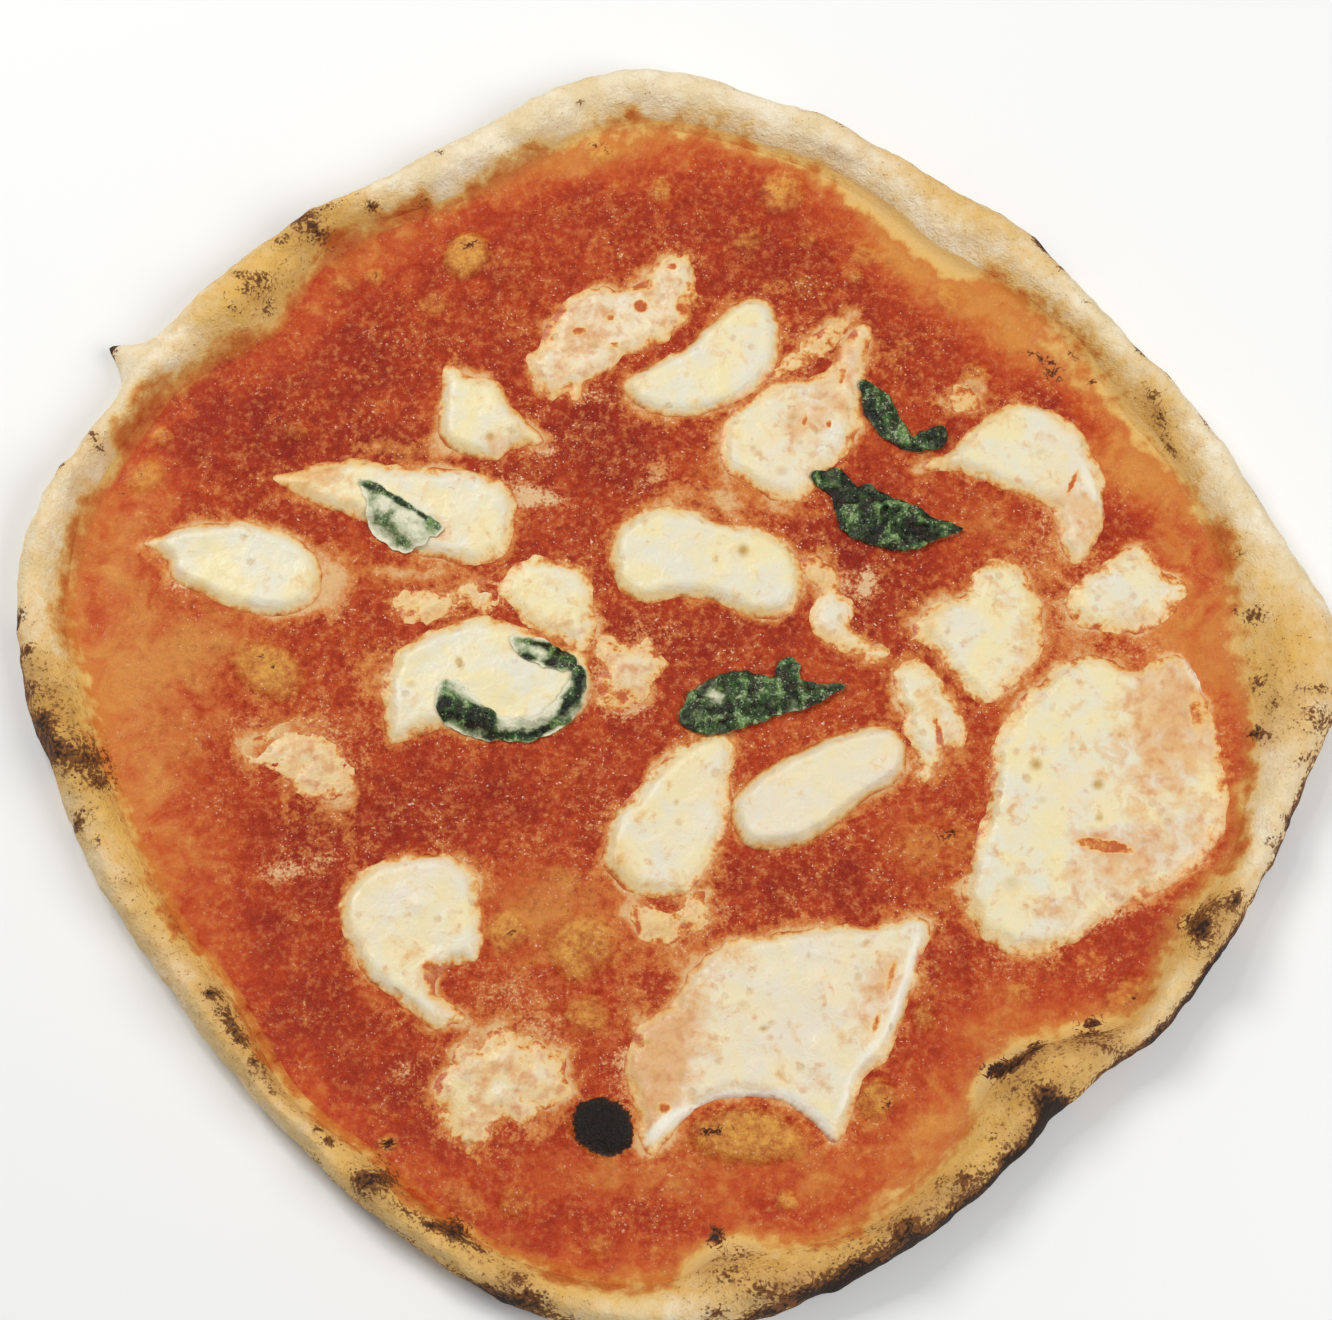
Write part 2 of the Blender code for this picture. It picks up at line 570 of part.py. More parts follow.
def main():
    clear_scene()
    pizza = new_collection("pizza")
    dough_finish = make_material("baked_dough", "#D9BC84", 0.7)
    sauce_finish = make_material("tomato_sauce", "#B5402A", 0.35)
    mozzarella_finish = make_material("melted_mozzarella", "#EFE3BE", 0.4)
    basil_finish = make_material("wilted_basil", "#2F4A24", 0.45)

    def sauce_top(x, y):
        return pressed(x, y, FLOOR_THICKNESS)[2] + GAP + SAUCE_THICKNESS

    dough = make_dough(dough_finish, pizza, sauce_top)
    sauce = make_sauce(sauce_finish, pizza, sauce_top)
    bed = tree_of([dough, sauce])
    pieces = [
        make_mozzarella("mozzarella_" + name, outline, thickness, mozzarella_finish, pizza, bed)
        for name, (thickness, outline) in MOZZARELLA.items()
    ]
    covered = tree_of([dough, sauce] + pieces)
    for name, (midrib, half_width, ripple_height, ripples, fold) in BASIL.items():
        make_leaf(
            name, midrib, half_width, ripple_height, ripples, fold, basil_finish, pizza, covered)


main()
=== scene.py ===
import math
import random

import bpy
import numpy as np
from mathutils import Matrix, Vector


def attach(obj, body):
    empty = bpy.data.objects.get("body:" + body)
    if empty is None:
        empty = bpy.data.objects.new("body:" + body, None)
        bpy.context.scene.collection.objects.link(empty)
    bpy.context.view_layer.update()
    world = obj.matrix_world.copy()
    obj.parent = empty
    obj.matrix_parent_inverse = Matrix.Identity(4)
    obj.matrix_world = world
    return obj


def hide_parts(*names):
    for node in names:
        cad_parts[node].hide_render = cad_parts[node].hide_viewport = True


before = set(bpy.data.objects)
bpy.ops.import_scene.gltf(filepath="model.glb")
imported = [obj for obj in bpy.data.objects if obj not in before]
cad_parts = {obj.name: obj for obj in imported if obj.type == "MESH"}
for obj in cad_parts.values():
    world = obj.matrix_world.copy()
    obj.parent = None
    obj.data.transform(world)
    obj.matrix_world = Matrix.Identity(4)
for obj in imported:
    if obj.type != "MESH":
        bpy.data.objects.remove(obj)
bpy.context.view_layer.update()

MM = 0.001

# The stage, in metres, watts and degrees; each lamp is its name, place, size and power
TABLE_SIZE = 4.0
TABLE_GAP = 0.0002
WORLD_STRENGTH = 0.3
LAMPS = (
    ("window", (-0.65, 0.65, 0.95), 0.5, 8.1),
    ("fill", (0.85, -0.35, 0.95), 0.9, 8.9),
    ("spotlight", (-0.3, 0.6, 1.1), 0.14, 1.5),
)
CAMERA_TARGET = (-0.0015, 0.0005, 0.006)
CAMERA_DISTANCE = 0.8
CAMERA_TILT = math.radians(18.0)
FOCAL_LENGTH = 86.5
SENSOR_WIDTH = 36.0

# The outer edge of the pizza and the foot of its rim, every five degrees anticlockwise from +X
OUTER = (
    168.0, 165.0, 159.0, 155.5, 153.0, 150.8, 148.5, 146.6, 146.6, 147.2, 149.0, 149.2,
    149.3, 150.6, 152.5, 156.0, 157.8, 161.0, 164.0, 164.8, 162.5, 158.5, 155.0, 153.3,
    152.8, 153.2, 155.0, 156.2, 157.5, 158.4, 158.2, 159.4, 162.0, 165.6, 166.4, 165.4,
    162.6, 160.0, 155.7, 153.8, 152.5, 150.0, 148.2, 147.4, 147.4, 148.0, 149.5, 150.6,
    153.8, 155.8, 159.0, 162.2, 164.0, 165.0, 165.4, 164.4, 161.6, 159.0, 156.5, 154.0,
    151.0, 148.0, 146.2, 147.0, 150.2, 151.2, 152.5, 154.0, 155.5, 157.6, 160.6, 165.0,
)
FOOT = (
    139.0, 140.0, 140.0, 139.0, 138.0, 136.0, 134.0, 134.0, 134.0, 133.0, 132.5, 131.0,
    131.5, 135.0, 138.5, 141.0, 143.0, 145.5, 147.5, 148.0, 146.0, 141.5, 138.5, 138.0,
    140.0, 142.5, 141.5, 138.5, 135.5, 141.0, 147.5, 149.0, 151.0, 152.3, 152.0, 151.3,
    147.5, 143.5, 141.5, 139.5, 138.0, 136.5, 136.0, 135.0, 135.0, 138.0, 141.5, 142.0,
    142.0, 145.0, 148.0, 151.0, 152.5, 153.0, 151.5, 145.0, 146.0, 147.0, 145.5, 142.0,
    136.5, 129.5, 127.5, 133.0, 141.5, 141.5, 140.0, 142.0, 144.5, 144.0, 143.0, 142.0,
)

# The section of the dough, worked as if it were a disc turned on a wheel: radius and height
TURNED_FOOT = 140.0
TURNED_EDGE = 158.0
TURNED_RIM_HEIGHT = 13.0
FLOOR_SECTION = ((0.0, 2.7), (50.0, 2.7), (95.0, 2.8), (122.0, 3.1), (133.0, 3.8), (140.0, 5.4))
RIM_SECTION = (
    (133.0, 3.8), (140.0, 5.4), (143.5, 8.6), (147.0, 11.4), (150.5, 12.8), (153.5, 12.7),
    (156.2, 10.6), (157.8, 7.2), (157.4, 3.6), (155.0, 1.1), (150.0, 0.0),
)
UNDERSIDE_RADII = (144.0, 136.0, 124.0, 108.0, 88.0, 64.0, 36.0, 12.0)
FLOOR_RADII = (8.0, 30.0, 56.0, 80.0, 100.0, 114.0, 124.0, 130.0)
CRUST_STEPS = 1180
RIM_RINGS = 58
RIM_STEPS = 24

# How far the sauce stands above the dough, by radius on the wheel: it thins out at the rim and ends inside it
SAUCE_BODY = ((0.0, 1.7), (118.0, 1.7), (130.0, 1.15), (138.0, 0.42), (141.8, 0.10), (145.5, -0.65))
SAUCE_UNDERSIDE = -0.9
SAUCE_REACH = 145.0
SAUCE_DIVISIONS = 300
HIGHEST = 16.3
SMALL_BUBBLE_COUNT = 150
SKIN_BLISTER_COUNT = 170
OUTLINE_STEPS = 16
SHARP_ANGLE = math.radians(55)

# The burnt spike of dough at the upper left
SPIKE_ANGLE = 149.4
SPIKE_ROOT = 158.3
SPIKE_REACH = 169.4
SPIKE_HALF_WIDTH = 4.6
SPIKE_HEIGHT = 6.0
SPIKE_DEPTH = 4.0

# Swellings of the rim: angle, radius, size, rise
RIM_PUFFS = (
    (0.0, 156.0, 14.0, 3.0), (27.0, 140.0, 7.0, 1.5), (39.0, 133.0, 9.0, 2.5), (90.0, 157.0, 12.0, 1.0),
    (128.0, 150.0, 7.0, 2.0), (140.0, 148.0, 10.0, 3.0), (166.0, 159.0, 10.0, 1.5),
    (189.0, 149.0, 9.0, 2.5), (219.0, 141.0, 7.0, 2.0), (242.0, 149.0, 7.0, 2.5),
    (258.0, 157.0, 8.0, 1.0), (275.0, 150.0, 9.0, 2.0), (308.0, 134.0, 10.0, 3.5),
    (331.0, 146.0, 8.0, 3.0),
)

# Burnt places. Every spot here and below, unless its table says otherwise, is: x, y, half length,
# half width, turn in degrees, strength
BURNT_CRUST = (
    (-24, 163, 2.6, 1.3, 15, 1.1), (-37, 156, 2.2, 1.0, 30, 0.7), (-24, 153, 1.1, 1.0, 0, 0.45),
    (-60.5, 137, 1.3, 1.1, 0, 0.65), (-65, 126, 1.6, 1.3, 30, 0.4), (-78, 123, 2.2, 1.3, 20, 0.9),
    (-92, 115, 3.6, 2.4, -25, 0.9), (-97, 118, 3.6, 2.0, 15, 0.7), (-90, 121, 5.0, 1.6, 25, 0.45),
    (-106, 101, 4.2, 2.6, 20, 0.7), (-112, 102, 2.0, 1.6, 0, 0.6), (-104, 95, 2.6, 1.8, 50, 0.6),
    (-109, 97, 1.8, 1.4, 0, 0.6), (-113, 93, 2.4, 1.2, -30, 0.5), (-119, 102, 2.4, 1.2, 40, 0.6),
    (-100, 113, 5.0, 1.4, 25, 0.55), (-147, 58, 2.0, 1.4, -50, 0.8), (-145, 55, 1.2, 0.9, 0, 0.7),
    (-154, 50, 2.0, 1.1, 60, 0.7), (-163.5, 8, 3.4, 1.8, 75, 1.4), (-160, 1, 2.4, 1.6, 30, 0.9),
    (-158, -9, 3.0, 2.2, 0, 0.7), (-154.5, -18, 4.6, 3.2, -60, 1.1), (-151.5, -25, 4.0, 2.6, -50, 1.0),
    (-144, -27, 6.0, 5.6, -40, 0.9), (-140.5, -33, 2.6, 2.0, 0, 0.6), (-145, -43, 2.8, 2.2, 60, 1.0),
    (-140, -48, 1.6, 1.3, 0, 0.6), (-110.5, -86, 2.0, 1.6, 0, 1.0), (-106, -92, 5.2, 2.0, -60, 0.8),
    (-103, -97, 3.4, 1.6, -50, 0.6), (-99, -103, 2.2, 1.4, -40, 0.95), (-95, -109, 2.4, 1.4, -40, 0.4),
    (-84, -118, 1.6, 1.2, 0, 0.7), (-81, -121, 2.2, 1.4, 0, 0.9), (-72, -131, 3.2, 2.8, -30, 1.2),
    (-67.5, -130, 3.2, 3.2, 0, 0.75), (-68, -120.5, 2.6, 1.6, 0, 0.5), (-62, -138, 4.0, 1.1, -30, 0.75),
    (-57, -141, 2.2, 1.3, -20, 0.8), (-51.5, -142, 4.0, 2.6, -20, 1.25),
    (-45.5, -146, 3.4, 1.0, -25, 0.85), (-36, -153, 2.0, 1.4, 0, 0.8), (-33, -157, 5.0, 2.4, -15, 0.7),
    (10, -142.5, 2.2, 2.6, 0, 1.2), (15, -147, 4.6, 3.4, 10, 0.5), (13, -153, 4.2, 1.8, 10, 0.65),
    (10, -161, 3.0, 1.6, 0, 0.85), (21, -156, 4.4, 2.2, 0, 0.75), (54, -140.5, 2.6, 1.4, 20, 0.7),
    (63, -131, 1.8, 1.4, 0, 0.55), (69, -130, 3.6, 2.0, 30, 0.75), (76, -120, 1.8, 1.3, 0, 0.6),
    (78, -103, 4.6, 2.6, 20, 1.3), (84, -101, 5.4, 1.3, 38, 0.95), (87, -97.5, 3.0, 1.6, 30, 0.8),
    (82, -109, 4.0, 1.0, 30, 0.5), (88, -111, 3.2, 3.2, 50, 1.15), (101, -93, 4.4, 3.2, 25, 1.0),
    (105, -99, 4.6, 1.8, -20, 0.6), (127.3, -70, 2.8, 4.6, 0, 1.4), (136, -63, 2.2, 3.2, -30, 0.95),
    (131, -64.5, 3.2, 2.4, 0, 0.55), (144.3, -19, 2.2, 1.8, 0, 1.15), (147, -21, 1.6, 1.4, 0, 0.6),
    (145.5, -7, 1.5, 2.4, 0, 0.8), (148.5, -13, 1.6, 1.2, 0, 0.6), (158, -10, 4.6, 1.1, 8, 0.7),
    (155, -27, 3.4, 0.9, 35, 0.65), (158, -17, 4.6, 3.8, 50, 0.55), (145.5, -48, 2.0, 1.6, 0, 0.5),
    (150, -42, 1.6, 1.3, 0, 0.7), (37, 152, 3.4, 1.1, -20, 0.8), (45, 147, 3.0, 2.6, -30, 0.35),
    (59, 140.3, 2.4, 1.2, -40, 1.0), (78, 127.5, 3.2, 1.1, -35, 0.6), (96.5, 112, 4.2, 1.3, -50, 0.85),
    (100.5, 105, 1.2, 1.1, 0, 0.75), (107, 95, 2.2, 1.4, -50, 0.35), (120, 82, 2.2, 1.2, -50, 0.95),
    (127, 75, 3.2, 1.2, -50, 0.6), (93, 84, 3.2, 1.6, -30, 0.6), (98.5, 78.5, 3.6, 2.6, -40, 0.74),
    (108, 76, 2.0, 1.3, -20, 0.6), (103, 83, 3.2, 1.2, -40, 0.5), (122.5, 69, 2.6, 1.6, -60, 0.6),
    (124.5, 63, 3.0, 1.4, -80, 0.6), (127, 56, 2.8, 1.6, -70, 0.6), (136, 62, 3.0, 1.0, -60, 0.5),
    (148.5, 42, 3.6, 1.2, -62, 0.5), (145.5, 11, 3.4, 2.4, -15, 0.75), (141, 14, 1.5, 1.2, 0, 0.6),
    (139.5, 20, 1.3, 1.1, 0, 0.45), (143, 27, 1.6, 1.2, 0, 0.4), (134, 86, 2.0, 1.0, -50, 0.3),
    (31, -156.5, 7.0, 2.4, 18, 1.05), (43, -150.5, 7.0, 2.6, 24, 1.1), (56, -143.5, 7.0, 3.4, 25, 1.15),
    (69, -136.5, 7.0, 3.0, 35, 1.1), (79, -126.5, 6.0, 3.0, 50, 1.05), (89, -115, 6.0, 2.6, 50, 1.0),
    (-40, -157, 11.0, 1.6, -18, 0.85), (118, -94, 9.0, 1.8, 50, 0.8), (131, -78, 8.0, 1.8, 52, 0.8),
    (153, -41, 8.0, 1.6, 68, 0.7), (150, -52, 5.0, 1.4, 62, 0.6), (-158.5, -20, 8.0, 1.8, -62, 0.9),
)

# The scorched outer edge: from angle, to angle, strength
SCORCHED_EDGE = (
    (176, 191, 0.55), (232, 262, 0.42), (268, 276, 0.4), (278, 312, 1.15), (308, 336, 0.95),
    (334, 352, 0.75), (98, 108, 0.25), (38, 78, 0.3), (119, 133, 0.45),
)

# Where the heat has toasted the rim brown
TOASTED = (
    (-105, 100, 22, 9, 45, 0.6), (-92, 118, 14, 5, 30, 0.5), (-152, -14, 14, 9, -70, 0.85),
    (-140, -32, 14, 8, -60, 0.6), (-118, -70, 22, 6, -52, 0.35), (-100, -99, 20, 6, -50, 0.6),
    (-70, -130, 16, 7, -38, 0.85), (-40, -152, 22, 7, -20, 0.75), (14, -150, 18, 10, 0, 0.65),
    (50, -140, 24, 8, 25, 0.95), (86, -108, 18, 12, 45, 0.85), (104, -95, 12, 8, 40, 0.8),
    (130, -68, 12, 9, 60, 0.8), (150, -15, 14, 12, 90, 0.55), (152, 3, 14, 13, 0, 0.5),
    (100, 80, 18, 7, -50, 0.75), (124, 62, 14, 5, -65, 0.6), (-158, -4, 8, 7, 0, 0.6),
    (74, 126, 34, 6, -35, 0.45), (-128, -66, 26, 7, -60, 0.7), (-98, -108, 20, 5, -48, 0.35),
    (30, -156, 16, 4, 14, 0.4), (-148, 56, 10, 5, 60, 0.35), (135, 40, 20, 4, -65, 0.2),
)

# Where red oil has seeped into the inner side of the rim
OILED = (
    (-120, 86, 18, 7, 40, 0.5), (-148, 25, 16, 6, 85, 0.75), (-147, -4, 14, 8, 85, 0.85),
    (-135, -32, 16, 6, -65, 0.5), (-116, -68, 18, 3, -55, 0.3), (-98, -100, 18, 3, -48, 0.05),
    (-5, 148, 40, 4, 0, 0.55), (60, 121, 34, 7, -38, 0.4), (98, 90, 20, 8, -48, 0.5),
    (122, 52, 22, 9, -66, 0.55), (137, 8, 9, 22, 0, 0.9), (136, -30, 5, 24, 5, 0.7),
    (122, -66, 10, 6, 50, 0.6), (92, -96, 18, 8, 35, 0.9), (66, -120, 16, 8, 38, 0.9),
    (20, -143, 22, 6, 5, 0.8), (-30, -147, 20, 5, -14, 0.7), (-62, -133, 14, 5, -38, 0.5),
    (152, -2, 9, 8, 0, 0.55), (-36, 139, 12, 4, 20, 0.6),
)

# Where the dough at the rim's foot has stayed clear of the sauce
CLEAN = (
    (80, -104, 11, 6, 36, 1.0), (100, -92, 9, 5, 26, 0.9), (15, -147, 10, 6, 4, 1.0),
    (-92, -112, 14, 4, -48, 0.5), (100, 80, 16, 6, -48, 0.8), (128, -66, 4, 6, -20, 0.7),
    (-146, -12, 4, 10, 20, 0.3), (48, -134, 12, 4, 24, 0.5), (62, 116, 26, 8, -38, 0.65),
    (-5, 145, 34, 6, 0, 0.35), (122, 58, 11, 6, -65, 0.6), (-145, 36, 5, 18, 0, 0.35),
)

# Where the rim has baked yellow rather than pale
GOLDEN = (
    (152, 0, 16, 14, 0, 0.75), (-152, -16, 16, 12, -60, 0.8), (-136, -40, 20, 6, -62, 0.7),
    (-116, -72, 28, 5, -55, 0.7), (-92, -106, 22, 5, -48, 0.6), (-66, -132, 20, 8, -36, 0.6),
    (-30, -152, 26, 7, -14, 0.7), (20, -150, 24, 8, 6, 0.7), (58, -130, 24, 10, 30, 0.8),
    (86, -106, 20, 12, 42, 0.7), (112, -82, 18, 9, 48, 0.5), (130, -64, 14, 8, 60, 0.6),
    (-108, 100, 26, 11, 44, 0.8), (-84, 118, 16, 7, 28, 0.5), (98, 82, 30, 9, -48, 0.7),
    (76, 122, 30, 6, -36, 0.5), (-140, -22, 12, 8, -60, 0.6), (-157, 32, 6, 12, 0, 0.35),
    (122, 58, 16, 9, -65, 0.7), (-153, 14, 10, 10, 0, 0.4), (146, 24, 10, 5, -65, 0.5),
)

# Bubbles of dough that lift the sauce: x, y, half length, half width, turn, rise, how bare the top is
BUBBLES = (
    (-16.5, -116.5, 7.8, 6.4, -35, 2.9, 1.0), (18.0, -118.5, 14.0, 6.4, 0, 2.7, 1.0),
    (-53.5, 112.0, 6.2, 6.4, 0, 2.4, 0.95), (49.0, -109.5, 5.0, 4.8, 0, 2.0, 0.6),
    (29.0, 130.0, 5.8, 7.0, 0, 1.4, 0.5), (-22.0, -72.0, 8.8, 8.8, 0, 1.7, 0.7),
    (-40.0, -68.5, 5.4, 5.4, 0, 1.3, 0.65), (-101.0, -1.5, 10.0, 6.6, -30, 1.6, 0.75),
    (111.0, -85.0, 6.4, 5.0, 35, 1.6, 0.45), (-18.5, 142.5, 5.2, 3.8, 0, 1.3, 0.6),
    (-85, 104, 4.0, 3.0, 0, 0.8, 0.45), (-77.5, 106, 3.0, 2.6, 0, 0.8, 0.5),
    (-42, 108, 7.5, 6.5, 0, 0.9, 0.1), (-3, 130.5, 2.8, 3.4, 0, 0.9, 0.4),
    (20, 116, 4.6, 3.6, 20, 0.8, 0.35), (50, 112, 3.4, 3.4, 0, 0.8, 0.4),
    (48, 106, 2.4, 2.4, 0, 0.6, 0.4), (-134.5, 50, 4.6, 4.0, 30, 1.2, 0.5),
    (-131, 61, 3.4, 3.0, 0, 0.9, 0.4), (-20, -89, 5.6, 5.0, 0, 1.1, 0.45),
    (61, -90, 3.2, 3.6, 0, 0.9, 0.4), (62, -48, 9.0, 7.5, 0, 1.1, 0.12),
    (-49, -134, 6.0, 4.6, -20, 1.2, 0.3), (-37, -134, 4.4, 4.6, 0, 1.1, 0.25),
    (-17, -145, 3.0, 3.0, 0, 1.0, 0.35), (27, -134, 2.8, 2.4, -30, 0.9, 0.6),
    (58, -124, 2.0, 2.0, 0, 0.6, 0.4), (-68, -120.5, 3.2, 2.6, 0, 0.8, 0.5),
    (72, -46, 5.0, 5.0, 0, 0.8, 0.25), (-96, 62, 3.0, 3.0, 0, 0.5, 0.2),
    (-62, 98, 4.0, 3.4, 0, 0.6, 0.25), (34, 104, 3.0, 3.0, 0, 0.5, 0.2),
    (72, 100, 4.6, 4.0, -40, 0.7, 0.35), (78, 78, 3.6, 3.6, 0, 0.6, 0.3),
    (84, -84, 3.4, 3.0, 0, 0.6, 0.3), (36, 116, 2.6, 2.2, 0, 0.5, 0.25),
    (-30, 124, 3.0, 2.6, 0, 0.6, 0.2),
)

# Small black and brown marks on the bubbles of the sauce
BURNT_SAUCE = (
    (-55, 114, 1.6, 1.0, -30, 0.85), (-52, 114.5, 2.0, 1.0, 20, 0.8), (-77, 106, 1.0, 1.0, 0, 0.75),
    (-20, 143.5, 2.4, 0.9, 20, 0.7), (-17, 141.5, 1.4, 0.9, -40, 0.6), (-134.5, 50, 1.2, 1.0, 0, 0.8),
    (-140, 45.5, 1.0, 0.7, 0, 0.75), (-102.5, 1.5, 1.2, 0.8, 20, 0.8), (-100, -1.2, 1.2, 0.9, 0, 0.7),
    (-98, 3.0, 0.8, 0.6, 0, 0.5), (-39.5, -69, 1.5, 1.3, 0, 0.75), (9, -118, 3.0, 1.6, 0, 0.85),
    (13.5, -117, 2.4, 0.8, 10, 0.7), (20, -118.5, 1.0, 0.8, 0, 0.7), (11, -120.2, 1.6, 0.8, -10, 0.55),
    (51.3, -111, 1.5, 1.9, 0, 0.8), (46, -109, 1.8, 0.7, 40, 0.4), (68.5, -44, 2.1, 1.4, 35, 0.85),
    (66, -45.2, 1.0, 0.7, 0, 0.6), (112, -85.5, 1.6, 0.9, 40, 0.75), (109, -87, 1.0, 0.6, 40, 0.5),
    (-68, -120.5, 2.4, 1.4, 0, 0.5), (55, -47, 0.8, 0.8, 0, 0.4), (28, 130, 0.7, 0.7, 0, 0.4),
    (31, 132, 0.6, 0.6, 0, 0.35), (26, 127, 0.6, 0.6, 0, 0.3), (97, 82, 2.0, 1.0, -35, 0.6),
    (40, -100, 0.7, 0.7, 0, 0.3),
)

# Thin, orange sauce counts up and thick, dark red sauce counts down; the narrow dark strips at the end are
# partly painted shade
THINNED = (
    (-130, 0, 26, 20, 70, 1.0), (-142, 32, 10, 16, 0, 0.75), (-116, -46, 18, 22, 40, 0.45),
    (-110, 8, 16, 10, 20, 0.5), (-132, 48, 8, 10, 30, 0.5), (-100, 90, 20, 8, 40, 0.3),
    (-80, 112, 18, 6, 28, 0.35), (-30, -65, 20, 16, 0, 0.95), (60, -48, 13, 11, 0, 0.55),
    (-8, -128, 30, 7, 0, 0.7), (76, -92, 16, 10, 35, 0.65), (62, -116, 16, 9, 40, 0.7),
    (128, 12, 10, 28, 0, 0.8), (118, 52, 15, 14, 0, 1.0), (92, 92, 16, 14, -45, 0.95),
    (72, 104, 18, 11, -40, 0.8), (58, 114, 14, 8, -38, 0.6), (44, 127, 16, 6, -30, 0.5),
    (-30, 138, 18, 6, 15, 0.75), (8, 143, 30, 5, 0, 0.5), (15, 49, 22, 4, -22, 0.85),
    (-4, 44, 12, 3, 0, 0.6), (84, 36, 14, 8, -30, 0.5), (-86, -20, 18, 12, 0, 0.35),
    (0, -72, 12, 10, 0, 0.6), (-25, -95, 12, 12, 0, 0.6), (36, -128, 26, 6, 8, 0.35),
    (-60, -140, 12, 4, -30, 0.3), (-128, -30, 9, 22, 25, 0.4), (-66, 22, 20, 4, -5, 0.4),
    (-84, 26, 8, 6, 0, 0.6), (60, 84, 12, 16, 0, 0.1), (96, -14, 40, 40, 0, 0.3),
    (30, -124, 18, 5, 0, 0.4), (-95, 72, 34, 18, 30, -0.5), (-20, 66, 26, 9, 0, -0.55),
    (24, 106, 18, 10, 0, -0.4), (60, 88, 12, 14, 0, -0.35), (-76, 58, 30, 8, 0, -0.4),
    (-60, -38, 44, 10, 0, -0.45), (-96, -62, 10, 24, -30, -0.45), (-92, -90, 10, 20, -35, -0.55),
    (-66, -108, 18, 12, -50, -0.4), (46, -52, 8, 12, 0, -0.45), (46, 30, 22, 10, -30, -0.5),
    (-4, 4, 40, 12, 10, -0.35), (-14, 52, 14, 12, 0, -0.5), (64, 8, 8, 20, 0, -0.3),
    (116, -70, 14, 7, 50, -0.4), (66, -80, 8, 14, 0, -0.3), (24, -56, 24, 6, 0, -0.4),
    (0, 124, 60, 9, 0, -0.25), (108, 42, 14, 5, 20, -0.4), (-10, -138, 34, 5, 0, -0.35),
    # The narrow dark strips from (112, 36) to the end lie along the foot of the rim and its puffs: partly
    # sauce pooled there, partly painted shade where the rim meets the sauce
    (-122, 68, 14, 10, 50, -0.25), (-70, -4, 14, 5, 40, -0.15), (112, 36, 16, 3, 18, -0.6),
    (98, 70, 12, 3, -40, -0.5), (-104, 92, 14, 3, 45, -0.7), (-120, 80, 12, 2.5, 40, -0.5),
    (134, 22, 3, 10, 20, -0.3), (-146, 18, 3, 14, 0, -0.25),
)

# Milk that has run out of the cheese into the sauce
MILKY = (
    (-95, -53, 12, 5, 0, 0.7), (-84, -50, 6, 3, 20, 0.6), (-64, -102, 7, 4, 15, 0.65),
    (-40, -84, 14, 9, 0, 0.65), (-30, -95, 10, 8, 0, 0.55), (-30, -48, 14, 7, 30, 0.6),
    (-12, -8, 16, 8, -20, 0.65), (-10, 8, 10, 5, 0, 0.5), (-42, 46, 12, 6, -20, 0.6),
    (-33, 62, 8, 4, -30, 0.5), (-2, 55, 6, 5, 0, 0.6), (4, 46, 12, 4, -10, 0.55),
    (-20, 72, 16, 4, -10, 0.55), (36, 84, 8, 12, -30, 0.5), (76, 72, 5, 6, 0, 0.7),
    (46, 20, 8, 7, -40, 0.6), (62, -22, 7, 14, 10, 0.45), (84, -78, 18, 6, 5, 0.55),
    (108, -62, 22, 5, 20, 0.6), (72, 44, 14, 7, -35, 0.4), (94, 30, 12, 12, 0, 0.55),
    (100, 8, 20, 10, 0, 0.55), (122, 2, 10, 8, 0, 0.5), (-96, -22, 24, 12, 0, 0.5),
    (-74, -10, 8, 10, 0, 0.35), (-108, -14, 8, 5, 0, 0.5), (-90, 12, 10, 8, 0, 0.35),
    (-20, -30, 10, 8, 60, 0.3), (12, -64, 30, 5, 0, 0.5), (-2, -78, 12, 10, 0, 0.5),
    (-8, -108, 9, 16, 0, 0.75), (-40, -114, 18, 8, 0, 0.5), (-6, 104, 22, 8, 30, 0.4),
    (-56, 20, 20, 6, 0, 0.4), (40, -54, 22, 4, 10, 0.25), (14, -20, 5, 10, 0, 0.3),
    (-60, 90, 5, 8, 0, 0.15), (-104, 34, 10, 16, 0, 0.1), (126, 40, 6, 6, 0, 0.2),
    (-35, 45, 5, 3, 10, 1.2), (-30, 44, 3.4, 1.6, -10, 1.1), (-86, 21, 4.6, 7, 8, 1.5),
    (-124, 21, 4, 3, -30, 0.9), (49.5, 22, 2.0, 4.6, -10, 1.3), (-4, 51, 2.6, 3.0, 0, 0.9),
    (-33, 57, 3.4, 1.6, -10, 0.9), (-96, -54, 5, 2.6, 0, 0.5), (-5, 41, 4, 1.6, 30, 0.5),
    (-13, -9, 6, 4, -20, 0.5), (62, -18, 1.4, 3, 0, 0.4), (104, -79, 8, 2.4, 25, 0.4),
    (-56, -6, 2, 3, 0, 0.2),
)

